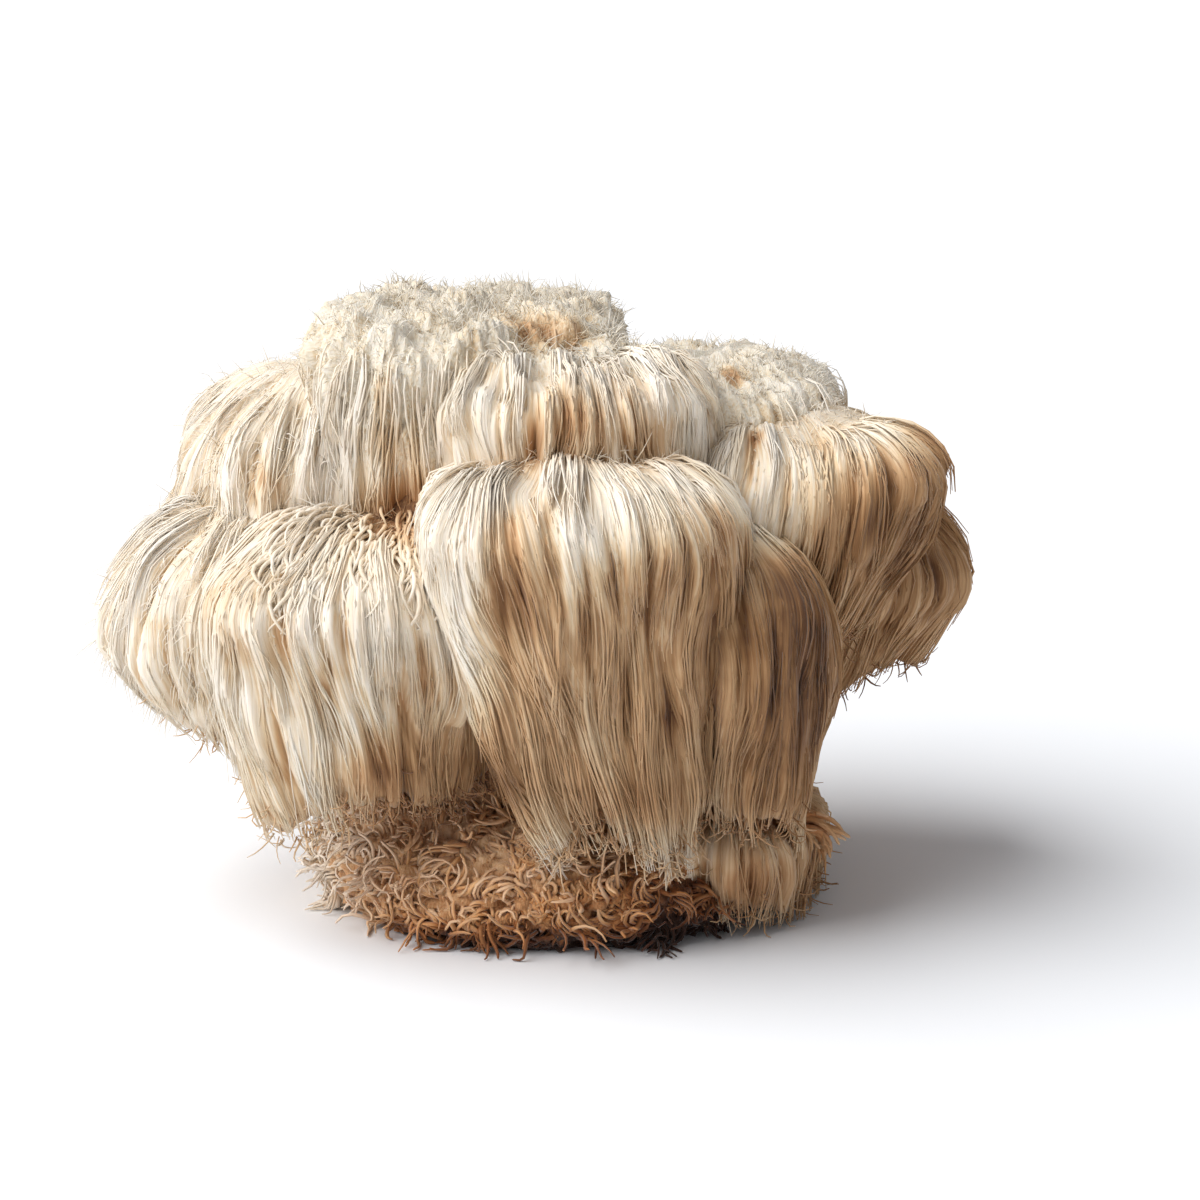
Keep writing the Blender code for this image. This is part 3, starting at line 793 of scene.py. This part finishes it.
def noodlesOn(name, dice):  # pale spines that wind over the crest
    look = noodles
    paths, count = [], look["count"]
    t = np.linspace(0, 1, look["rings"])
    for _ in range(count):
        pixel = dice.uniform(look["left"], look["right"]), dice.uniform(look["top"], look["bottom"])
        s, a = nearPixel(name, pixel)
        length, side = dice.uniform(*look["length"]), dice.choice([-1, 1])
        heading = side * dice.uniform(0.2, 1.2) * np.cos(math.pi * t * dice.uniform(0.6, 1.3))
        down = a - 3 + length * np.cumsum(np.cos(heading)) / look["rings"]
        across = s + length * np.cumsum(np.sin(heading)) / look["rings"]
        point, normal = surfaceAt(name, across, np.maximum(down, 0.5))
        lift = dice.uniform(*look["lift"]) * np.sin(math.pi * np.clip(0.1 + 0.9 * t, 0, 1)) ** 0.7
        lift = lift - 0.6 * (1 - t) ** 3 + 0.3
        paths.append(point + normal * lift[:, None])
    paths = np.array(paths)
    radii = dice.uniform(*look["radius"], count)[:, None] * (1 - 0.65 * t[None] ** 1.6)
    # painted shade: each noodle is darker near its root
    shade = 0.03 + 0.03 * dice.normal(0, 1, count)[:, None] + 0.14 * (1 - t[None]) ** 2
    shade = shade + paintedShadeAndTan(paths, depthInOthers(paths, name))
    return paths, radii, {"shade": shade, "warmth": np.full(shade.shape, 0.6)}


# the stub and its curled fibres
stub = dict(centre=(3.5, -1.0), reach=(50.0, 45.0), top=30.0, middle=9.0, below=10.0)  # mm
curls = dict(  # lengths in mm
    perTuft=6,
    tufts=800,
    front=0.35,  # how much closer together they stand in front
    rings=7,
    radius=(0.36, 0.66),
    length=(6.0, 12.0),
    turn=(170, 400),  # degrees
    heights=(0.8, 29.0),
    lowest=0.45,
)


def stubPoint(angle, height):
    half = np.where(height > stub["middle"], stub["top"] - stub["middle"], stub["middle"] + stub["below"])
    rise = np.clip((height - stub["middle"]) / half, -1, 1)
    wide = np.sqrt(1 - rise ** 2)
    return np.stack([
        stub["centre"][0] + stub["reach"][0] * wide * np.cos(angle),
        stub["centre"][1] + stub["reach"][1] * wide * np.sin(angle),
        height + 0 * angle,
    ], axis=-1)


def stubToneAndShade(points):  # cream fuzz at the left, ochre in front; painted shade on the side away from the light, at the lower right and along the bottom; paler towards the top
    x, y, z = points[..., 0], points[..., 1], points[..., 2]
    # painted shade: darker on the side away from the light, at the lower right, and along the bottom where it
    # meets the floor
    right = 0.5 + 0.5 * np.cos(np.arctan2(y - stub["centre"][1], x - stub["centre"][0]) + 0.5)
    low = easeIn((16 - z) / 16)
    edge = easeIn((9 - z) / 8) * easeIn((x + 44) / 30)
    lowRightShade = easeIn((x - 12) / 16) * easeIn((22 - z) / 10)
    shade = 0.02 + 0.22 * right ** 1.3 - 0.16 * easeIn((z - 12) / 8)
    return shade + 0.20 * low * (0.1 + 0.9 * right ** 1.5) + 0.56 * edge + 0.30 * lowRightShade


def curlStub(dice):  # the hairs of a tuft curl together, as in a fleece
    look = curls
    tufts, rings = look["tufts"], look["rings"]
    tuft = np.repeat(np.arange(tufts), look["perTuft"])
    count = tuft.size
    low, high = look["heights"]
    around = dice.uniform(0, 2 * math.pi, tufts)
    around = around - look["front"] * np.cos(around)
    angle = around[tuft] + dice.normal(0, 0.022, count)
    height = (low + (high - low) * dice.random(tufts))[tuft] + dice.normal(0, 0.8, count)
    height = np.clip(height, 0.6, 29.5)
    root = stubPoint(angle, height)
    step = 0.01
    roundIt = stubPoint(angle + step, height) - stubPoint(angle - step, height)
    upIt = stubPoint(angle, height + 0.2) - stubPoint(angle, height - 0.2)
    normal = unit(np.cross(roundIt, upIt))
    tangent = unit(roundIt)
    climb = unit(np.cross(normal, tangent))
    facing = (dice.uniform(0, 2 * math.pi, tufts)[tuft] + dice.normal(0, 0.3, count))[:, None]
    sideways = tangent * np.cos(facing) + climb * np.sin(facing)
    aim = normal * dice.uniform(0.5, 1.2, tufts)[tuft][:, None] + sideways
    aim = unit(aim + dice.normal(0, 0.12, (count, 3)))
    axis = np.cross(aim, normal) + (0.5 * dice.normal(0, 1, (tufts, 3)))[tuft]
    axis = axis + 0.15 * dice.normal(0, 1, (count, 3))
    turn = -np.radians(dice.uniform(*look["turn"], tufts)[tuft] * dice.uniform(0.8, 1.2, count))
    length = dice.uniform(*look["length"], tufts)[tuft] * dice.uniform(0.75, 1.2, count)
    paths = curvedPaths(root - normal * 0.5, aim, axis, turn, length, rings)
    paths[..., 2] = np.maximum(paths[..., 2], look["lowest"])
    t = np.linspace(0, 1, rings)[None]
    radii = dice.uniform(*look["radius"], count)[:, None] * (1 - 0.55 * t ** 1.5)
    others = depthInOthers(paths, "")
    keep = (others < 1.0).sum(axis=1) >= 4
    away = np.linalg.norm(paths - root[:, None], axis=-1)
    shade = stubToneAndShade(paths) + (0.05 * dice.normal(0, 1, tufts))[tuft][:, None]
    shade = shade + 0.03 * dice.normal(0, 1, count)[:, None]
    # painted shade deep in the fleece: each curl is darker near its root and paler towards its end
    shade = shade + 0.20 - 0.09 * np.clip(away - 0.5, 0, 3.0)
    warmth = (1.2 + 4.6 * easeIn((paths[..., 0] + 50) / 28)) * dice.uniform(0.8, 1.1, count)[:, None]
    return paths[keep], radii[keep], {"shade": shade[keep], "warmth": warmth[keep]}


frillTip = dict(  # lengths in mm
    count=70,
    root=(50.0, -22.0, 19.5),
    spread=1.6,
    length=(8.0, 13.0),
    radius=(0.5, 0.95),
    turn=(50, 150),  # degrees
    rings=8,
)


def curlFrillTip(dice):  # a tongue of orange spines that curls over at the lower right
    look = frillTip
    count, rings = look["count"], look["rings"]
    root = np.array(look["root"]) + dice.normal(0, look["spread"], (count, 3))
    aim = np.array([1.0, 0.05, 0.45]) + dice.normal(0, 0.14, (count, 3))
    axis = np.array([0.0, 1.0, 0.0]) + dice.normal(0, 0.2, (count, 3))
    turn = np.radians(dice.uniform(*look["turn"], count))
    paths = curvedPaths(root, aim, axis, turn, dice.uniform(*look["length"], count), rings)
    t = np.linspace(0, 1, rings)[None]
    radii = dice.uniform(*look["radius"], count)[:, None] * (1 - 0.6 * t ** 2)
    shade = 0.50 - 0.22 * t + 0.04 * dice.normal(0, 1, count)[:, None]
    return paths, radii, {"shade": shade, "warmth": 6.0 - 2.0 * t + 0 * shade}


# the skins: each lobe's own surface, grooved as combed, which the loose spines grow out of
skins = dict(
    pitch=0.32,  # mm between the skin's columns at the lobe's widest
    rowStep=1.7,  # mm
    underRows=4,
    drawIn=0.1,  # mm that the skin lies under the locks' surface
    hemShort=3.0,  # mm that the skin ends above the spines' tips
    grooves=[(1.7, 22, 0.34), (0.85, 14, 0.22)],  # width, length and depth, mm
    partingDepth=1.3,  # mm
    lump=0.5,  # mm, unevenness under the frizz
    hemThickness=6.0,  # mm that the underside rises from the hem
)


def grooveField(name, s, a, width, length, dice):  # -1 to 1, in long soft grooves down the lobe
    girth = charts[name]["girth"]
    columns, rows = max(8, round(girth / width)), int(150 / length) + 3
    table = dice.uniform(-1, 1, (columns, rows))
    u, v = np.mod(s / girth, 1) * columns, np.clip(a, 0, 149) / length
    left, above = u.astype(int) % columns, v.astype(int)
    return readTable(table, left, (left + 1) % columns, above, easeIn(u - np.floor(u)), easeIn(v - above))


def lumps(points, size):  # lumps of three sizes, in mm where size is 1
    x, y, z = points[..., 0], points[..., 1], points[..., 2]
    return sum(part * np.sin(x / part * 1.9 / size + turn) * np.sin(y / part * 2.3 / size + 2 * turn)
               * np.sin(z / part * 2.1 / size + 3 * turn)
               for part, turn in [(2.0, 0.4), (1.2, 1.3), (0.7, 2.2)])


def ball(segments, rings):
    bpy.ops.object.select_all(action="DESELECT")
    bpy.ops.mesh.primitive_uv_sphere_add(segments=segments, ring_count=rings, radius=1.0)
    return bpy.context.active_object


def pointsOf(mesh):
    points = np.empty(len(mesh.vertices) * 3)
    mesh.vertices.foreach_get("co", points)
    return points.reshape(-1, 3)


def movePoints(mesh, points):  # to places in the plan, in mm
    mesh.vertices.foreach_set("co", ((points - planMiddle) * mm).ravel())


def skinLobe(name, detail, woolly, dice):  # woolly: share of the dome that frizz covers
    look, each = skins, lobes[name]
    girth, hemMean = charts[name]["girth"], charts[name]["hem"].mean()
    columns = int(girth / look["pitch"] * detail)
    hemRow = round(hemMean / look["rowStep"])
    rows = hemRow + look["underRows"]
    skin = ball(columns, rows)
    mesh = skin.data
    points = pointsOf(mesh)
    row = np.round(np.arccos(np.clip(points[:, 2], -1, 1)) / math.pi * rows).astype(int)
    s = np.mod(np.arctan2(points[:, 1], points[:, 0]) / (2 * math.pi), 1) * girth
    hem = hemAt(name, s) - look["hemShort"] + 1.5 * grooveField(name, s, 0 * s, 2.6, 20, dice)
    a = np.minimum(row / hemRow, 1) * hem

    combed = s - flow(name, s, a)
    locked = combedLift(name, s, a)
    fine = sum(depth * grooveField(name, combed, a, width, length, dice)
               for width, length, depth in look["grooves"])
    gap = gapAt(name, s, a)
    woolEnd = woolly * browAt(name, s)
    wool = easeIn((woolEnd + 2 - a) / 10) * (woolly > 0)
    _, fall = placeOn(name, s, a)
    spread = np.clip(spreadAt(each, fall), 0.1, 1) * (1 - 0.6 * wool)
    place, normal = surfaceAt(name, s, a)
    drawIn = look["drawIn"] + look["partingDepth"] * gap + 1.0 * easeIn((a - hem + 8) / 8)
    drawIn = drawIn - look["lump"] * wool * lumps(place, 1.0)
    place = place + normal * ((locked + fine) * spread - drawIn)[:, None]

    under = row > hemRow
    inwards = (row - hemRow) / look["underRows"]
    middle = np.array([each["centre"][0] + each["lean"][0], each["centre"][1] + each["lean"][1],
                       each["top"] - each["drop"] + 4])
    lifted = place + (middle - place) * inwards[:, None]
    lifted[:, 2] += look["hemThickness"] * inwards * (2 - inwards)
    place = np.where(under[:, None], lifted, place)
    pole = row == 0
    place[pole] = [each["centre"][0] + each["crest"][0], each["centre"][1] + each["crest"][1],
                   each["top"] - look["drawIn"]]

    others = depthInOthers(place, name)
    # painted shade: darker in the grooves, between the locks, in the partings and in the hollows of the lumps
    shade = 0.11 - 0.14 * fine + 0.13 * np.clip((1.0 - locked) / 2.0, -0.3, 1) * (1 - wool) + 0.18 * gap
    shade = shade + paintedShadeAndTan(place, others) - 0.04 * wool * lumps(place, 1.0)
    # painted shade on the underside of each lobe, under its hem
    shade = np.where(under, 0.62 + 0.2 * inwards, shade)
    place[:, 2] = np.maximum(place[:, 2], 0.0)
    movePoints(mesh, place)
    turn = 2 * math.pi * combed / girth
    comb = np.stack([girth / (2 * math.pi) * np.cos(turn), girth / (2 * math.pi) * np.sin(turn), a], axis=-1)
    comb[:, 2] += 20 * np.minimum(a, woolEnd)  # no long streaks under the wool
    mark(mesh, "shade", shade)
    mark(mesh, "warmth", 0.5 + (woolWarmth.get(name, otherWarmth) - 0.5) * wool + stainAndShadeWarmth(place))
    mark(mesh, "comb", comb + 100 * each["top"])  # each lobe has its own streaks
    return skin


def joinSkins(name, members):
    bpy.ops.object.select_all(action="DESELECT")
    for member in members:
        member.select_set(True)
    bpy.context.view_layer.objects.active = members[0]
    if len(members) > 1:
        bpy.ops.object.join()
    skin = members[0]
    skin.name = name
    skin.data.name = name
    skin.data.shade_smooth()
    bpy.ops.object.select_all(action="DESELECT")
    print(name, "faces", len(skin.data.polygons))
    return skin


# a dark core inside the lobes, painted shade for the gaps between them
paintedShadeCore = dict(centre=(2.0, 2.0, 58.0), reach=(54.0, 40.0, 48.0), lowest=12.0, shade=0.75, warmth=0.5)  # mm
# the stub's flesh is darker than its curls: painted shade in the gaps between them
stubFinish = dict(lumpHeight=1.1, lumpSize=1.2, drawIn=0.8, shade=0.26, cutPaler=0.2, warmth=4.0)


def markSkin(mesh, shade, warmth):
    mark(mesh, "shade", shade)
    mark(mesh, "warmth", np.full(len(shade), warmth))
    mark(mesh, "comb", pointsOf(mesh) / mm)


def growPaintedShadeCore():  # a dark core that shows between the lobes: painted shade in the gaps
    skin = ball(64, 32)
    points = pointsOf(skin.data) * paintedShadeCore["reach"] + paintedShadeCore["centre"]
    points[:, 2] = np.maximum(points[:, 2], paintedShadeCore["lowest"])
    movePoints(skin.data, points)
    markSkin(skin.data, np.full(len(points), paintedShadeCore["shade"]), paintedShadeCore["warmth"])
    return skin


def growStub():  # a squat ball, lumpy with curls, cut flat
    look = stubFinish
    skin = ball(220, 110)
    way = pointsOf(skin.data)
    half = np.where(way[:, 2] > 0, stub["top"] - stub["middle"], stub["middle"] + stub["below"])
    points = np.stack([stub["centre"][0] + stub["reach"][0] * way[:, 0],
                       stub["centre"][1] + stub["reach"][1] * way[:, 1],
                       stub["middle"] + half * way[:, 2]], axis=-1)
    points = points + way * (look["lumpHeight"] * lumps(points, look["lumpSize"]) - look["drawIn"])[:, None]
    movePoints(skin.data, points)
    bpy.ops.object.mode_set(mode="EDIT")
    bpy.ops.mesh.select_all(action="SELECT")
    bpy.ops.mesh.bisect(plane_co=(0, 0, 0), plane_no=(0, 0, -1), use_fill=True, clear_outer=True)
    bpy.ops.object.mode_set(mode="OBJECT")
    points = pointsOf(skin.data) / mm + planMiddle
    cut = easeIn((1.0 - points[:, 2]) / 1.0)
    markSkin(skin.data, stubToneAndShade(points) + look["shade"] - look["cutPaler"] * cut, look["warmth"])
    return skin


# materials
def linear(hexText):  # an sRGB hex colour as Blender's linear one
    values = [int(hexText[i:i + 2], 16) / 255 for i in (1, 3, 5)]
    return (*[v / 12.92 if v <= 0.04045 else ((v + 0.055) / 1.055) ** 2.4 for v in values], 1.0)


def addNode(tree, kind, inputs=None, **settings):  # an input that is a socket is linked, any other is set
    node = tree.nodes.new(kind)
    for name, value in settings.items():
        setattr(node, name, value)
    for name, value in (inputs or {}).items():
        if isinstance(value, bpy.types.NodeSocket):
            tree.links.new(value, node.inputs[name])
        else:
            node.inputs[name].default_value = value
    return node


def fillRamp(ramp, stops):
    while len(ramp.elements) > 1:
        ramp.elements.remove(ramp.elements[-1])
    for index, (place, colour) in enumerate(stops):
        element = ramp.elements[0] if index == 0 else ramp.elements.new(place)
        element.position = place
        element.color = linear(colour)


fleshColours = [  # from fresh cream to dark brown, which the painted shade in the gaps and undersides reaches
    (0.0, "#F7F0E4"),
    (0.14, "#EFE3CE"),
    (0.28, "#E2CAA6"),
    (0.44, "#C8A277"),
    (0.62, "#A1784D"),
    (0.82, "#704A28"),
    (1.0, "#3E2410"),
]


tissue = dict(
    orange="#E8B070",  # what the flesh is tinted with where it is warm
    orangeEach=0.14,  # share of that for each unit of warmth
    grey="#E2E1DD",  # and where it is cool
    blotch=11.0,  # mm
    blotchShift=(-0.05, 0.05),
    streak=(0.5, 0.5, 14.0),  # mm across and along the spines
    streakShift=(-0.09, 0.11),
    streakDepth=0.5,  # mm
    roughness=0.65,
    ior=1.4,
    sheen=0.2,
    sheenRoughness=0.5,
)


# fresh fungus tissue, grown in fine spines: matte and damp, and a little light passes through
def fungusMaterial(name, weight, radius, scale, streaks=False):
    look = tissue
    material = bpy.data.materials.new(name)
    material.use_nodes = True
    tree = material.node_tree
    shader = tree.nodes["Principled BSDF"]
    place = addNode(tree, "ShaderNodeTexCoord").outputs["Object"]
    patterns = [(addNode(tree, "ShaderNodeTexNoise", {
        "Vector": place, "Scale": 1 / (look["blotch"] * mm), "Detail": 3.0}), look["blotchShift"])]
    shade = addNode(tree, "ShaderNodeAttribute", attribute_name="shade").outputs["Fac"]
    if streaks:
        comb = addNode(tree, "ShaderNodeAttribute", attribute_name="comb").outputs["Vector"]
        drawn = addNode(tree, "ShaderNodeMapping", {
            "Vector": comb, "Scale": tuple(1 / size for size in look["streak"])})
        streak = addNode(tree, "ShaderNodeTexNoise", {
            "Vector": drawn.outputs["Vector"], "Scale": 1.0, "Detail": 2.0})
        patterns.append((streak, look["streakShift"]))
        bump = addNode(tree, "ShaderNodeBump", {
            "Height": streak.outputs["Fac"], "Strength": 0.8, "Distance": look["streakDepth"] * mm})
        tree.links.new(bump.outputs["Normal"], shader.inputs["Normal"])
    for pattern, (least, most) in patterns:
        shift = addNode(tree, "ShaderNodeMapRange", {
            "Value": pattern.outputs["Fac"], "From Min": 0.3, "From Max": 0.7,
            "To Min": least, "To Max": most})
        shade = addNode(tree, "ShaderNodeMath", {0: shade, 1: shift.outputs["Result"]}, operation="ADD")
        shade = shade.outputs[0]
    ramp = addNode(tree, "ShaderNodeValToRGB", {"Fac": shade})
    fillRamp(ramp.color_ramp, fleshColours)
    colour = ramp.outputs["Color"]
    warmth = addNode(tree, "ShaderNodeAttribute", attribute_name="warmth").outputs["Fac"]
    for tint, each, clamped in [(look["orange"], look["orangeEach"], False), (look["grey"], -1.0, True)]:
        share = addNode(tree, "ShaderNodeMath", {0: warmth, 1: each}, operation="MULTIPLY", use_clamp=clamped)
        colour = addNode(tree, "ShaderNodeMix", {
            "Factor": share.outputs[0], 6: colour, 7: linear(tint)}, data_type="RGBA", blend_type="MULTIPLY")
        colour = colour.outputs[2]
    tree.links.new(colour, shader.inputs["Base Color"])
    shader.inputs["Roughness"].default_value = look["roughness"]
    shader.inputs["IOR"].default_value = look["ior"]
    shader.inputs["Sheen Weight"].default_value = look["sheen"]
    shader.inputs["Sheen Roughness"].default_value = look["sheenRoughness"]
    shader.inputs["Subsurface Weight"].default_value = weight
    shader.inputs["Subsurface Radius"].default_value = radius
    shader.inputs["Subsurface Scale"].default_value = scale * mm
    return material


# the pieces, made and joined by the side of the mushroom that they stand on
spineFinish = fungusMaterial("freshFungusSpines", weight=0.2, radius=(1.0, 0.95, 0.9), scale=0.25)
skinFinish = fungusMaterial("combedFungusSkin", weight=0.3, radius=(1.0, 0.85, 0.75), scale=0.7, streaks=True)
groups = {  # spines before hidden ones go, share of the dome that they leave to the frizz, thickness
    "crownSpines": {"crown": (2100, 1.05, 1.0), "crownRight": (600, 1.0, 1.0),
                    "secondTier": (2100, 0.15, 0.95), "topRight": (800, 0.9, 1.0)},
    "frontSpines": {"frontCurtain": (3900, 0.08, 0.95), "frontRight": (2000, 0.0, 1.0)},
    "leftSpines": {"upperLeft": (1500, 0.5, 0.75), "leftSide": (2300, 0.3, 0.8),
                   "frontLeft": (2500, 0.05, 1.0)},
    "rightSpines": {"rightShoulder": (2100, 0.3, 1.0), "rightSide": (1100, 0.15, 0.9),
                    "rightFrill": (1500, 0.05, 0.9)},
    "backSpines": {"backLeft": (1200, 0.5, 1.0), "backMiddle": (1200, 0.5, 1.0),
                   "backRight": (1000, 0.4, 1.0)},
    "lowBackSpines": {"lowBackLeft": (800, 0.15, 1.0), "lowBack": (800, 0.15, 1.0),
                      "lowBackRight": (600, 0.15, 1.0)},
}
pieces = []
for number, (groupName, members) in enumerate(groups.items()):
    batches = [combLobe(member, *settings, np.random.default_rng(100 + 10 * number + i))
               for i, (member, settings) in enumerate(members.items())]
    pieces.append(spineMesh(groupName, batches))

frizzed = {  # share of the dome, share of the full closeness, length, arch
    "crown": (1.45, 1.0, 1.0, 0.1),
    "crownRight": (1.3, 1.0, 1.0, 0.0),
    "topRight": (1.15, 0.9, 0.9, 0.1),
    "secondTier": (0.55, 1.0, 1.5, 0.3),
    "rightShoulder": (0.75, 0.5, 1.1, 0.4),
    "rightSide": (0.5, 0.4, 1.0, 0.4),
    "upperLeft": (1.3, 0.7, 1.7, 0.75),
    "backLeft": (0.8, 0.35, 1.4, 0.3),
    "backMiddle": (0.8, 0.35, 1.4, 0.3),
    "backRight": (0.7, 0.35, 1.4, 0.3),
    "leftSide": (1.3, 0.6, 2.0, 0.8),
    "frontLeft": (0.35, 0.8, 1.6, 0.6),
    "frontCurtain": (0.42, 1.0, 1.7, 0.45),
    "frontRight": (0.3, 0.7, 1.5, 0.6),
    "lowBackLeft": (0.3, 0.25, 1.2, 0.4),
    "lowBack": (0.3, 0.25, 1.2, 0.4),
}
batches = {name: frizzLobe(name, *settings, np.random.default_rng(300 + i))
           for i, (name, settings) in enumerate(frizzed.items())}
pieces.append(spineMesh("crownFrizz", [batches[name] for name in crownNames]))
pieces.append(spineMesh("crestFrizz", [batch for name, batch in batches.items() if name not in crownNames]))
hemCurled = {"frontCurtain": 700, "frontRight": 260, "frontLeft": 420, "leftSide": 200,
             "rightShoulder": 160, "rightSide": 140, "rightFrill": 260, "crown": 120,
             "lowBack": 160, "lowBackLeft": 120, "lowBackRight": 100}
batches = [hemCurls(name, count, np.random.default_rng(350 + i))
           for i, (name, count) in enumerate(hemCurled.items())]
batches.append(curlFrillTip(np.random.default_rng(370)))
pieces.append(spineMesh("hemFrizz", batches))
pieces.append(spineMesh("crestNoodles", [noodlesOn("frontLeft", np.random.default_rng(380))], sides=5))
pieces.append(spineMesh("stubCurls", [curlStub(np.random.default_rng(400))]))
for piece in pieces:
    piece.data.materials.append(spineFinish)

skinGroups = {  # fineness of each skin
    "frontLobes": {"frontCurtain": 1.0, "frontRight": 1.0},
    "leftLobes": {"frontLeft": 1.0, "leftSide": 1.0, "upperLeft": 1.0},
    "upperLobes": {"crown": 1.0, "crownRight": 0.8, "secondTier": 1.0, "topRight": 0.9},
    "rightLobes": {"rightShoulder": 1.0, "rightSide": 0.9, "rightFrill": 0.8},
    "backLobes": {"backLeft": 0.65, "backMiddle": 0.65, "backRight": 0.65,
                  "lowBackLeft": 0.55, "lowBack": 0.55, "lowBackRight": 0.55},
}
fleshPieces = []
for number, (groupName, members) in enumerate(skinGroups.items()):
    made = []
    for i, (member, detail) in enumerate(members.items()):
        woolly = frizzed[member][0] if member in crownNames else 0
        made.append(skinLobe(member, detail, woolly, np.random.default_rng(500 + 10 * number + i)))
    fleshPieces.append(joinSkins(groupName, made))
fleshPieces.append(joinSkins("stubFlesh", [growStub(), growPaintedShadeCore()]))
for piece in fleshPieces:
    piece.data.materials.append(skinFinish)
    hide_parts("fruiting_body")
for piece in pieces + fleshPieces:
    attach(piece, "root")

# floor and light
light = dict(
    toward=(-0.75, -0.14, 0.85),  # where the main light stands, seen from the mushroom
    strength=3.9,
    softness=66.0,  # degrees
    fill=0.31,
)

bpy.ops.object.select_all(action="DESELECT")
bpy.ops.mesh.primitive_plane_add(size=16.0, location=(0, 0, 0))
floor = bpy.context.active_object
floor.name = "floor"
paint = bpy.data.materials.new("mattePaper")  # an uncoated paper sheet: no gloss
paint.use_nodes = True
paper = paint.node_tree.nodes["Principled BSDF"]
paper.inputs["Base Color"].default_value = linear("#F2F4F7")
paper.inputs["Roughness"].default_value = 0.9
paper.inputs["Specular IOR Level"].default_value = 0.1
floor.data.materials.append(paint)

bpy.ops.object.light_add(type="SUN", location=(0, 0, 1))
sun = bpy.context.active_object
sun.name = "softWindow"
sun.data.energy = light["strength"]
sun.data.angle = math.radians(light["softness"])
sun.rotation_euler = Vector(light["toward"]).to_track_quat("Z", "Y").to_euler()

world = bpy.data.worlds.new("studio")
bpy.context.scene.world = world
world.use_nodes = True
world.node_tree.nodes["Background"].inputs["Color"].default_value = linear("#FCFCFF")
world.node_tree.nodes["Background"].inputs["Strength"].default_value = light["fill"]
bpy.context.scene.view_settings.view_transform = "Standard"

rise = math.radians(view["rise"])
aim = Vector(view["aim"])
bpy.ops.object.camera_add(location=aim + Vector((0, -math.cos(rise), math.sin(rise))) * view["distance"])
camera = bpy.context.active_object
camera.name = "camera"
camera.rotation_euler = (aim - camera.location).to_track_quat("-Z", "Y").to_euler()
camera.data.lens = view["lens"]
camera.data.sensor_width = view["sensor"]
bpy.context.scene.camera = camera
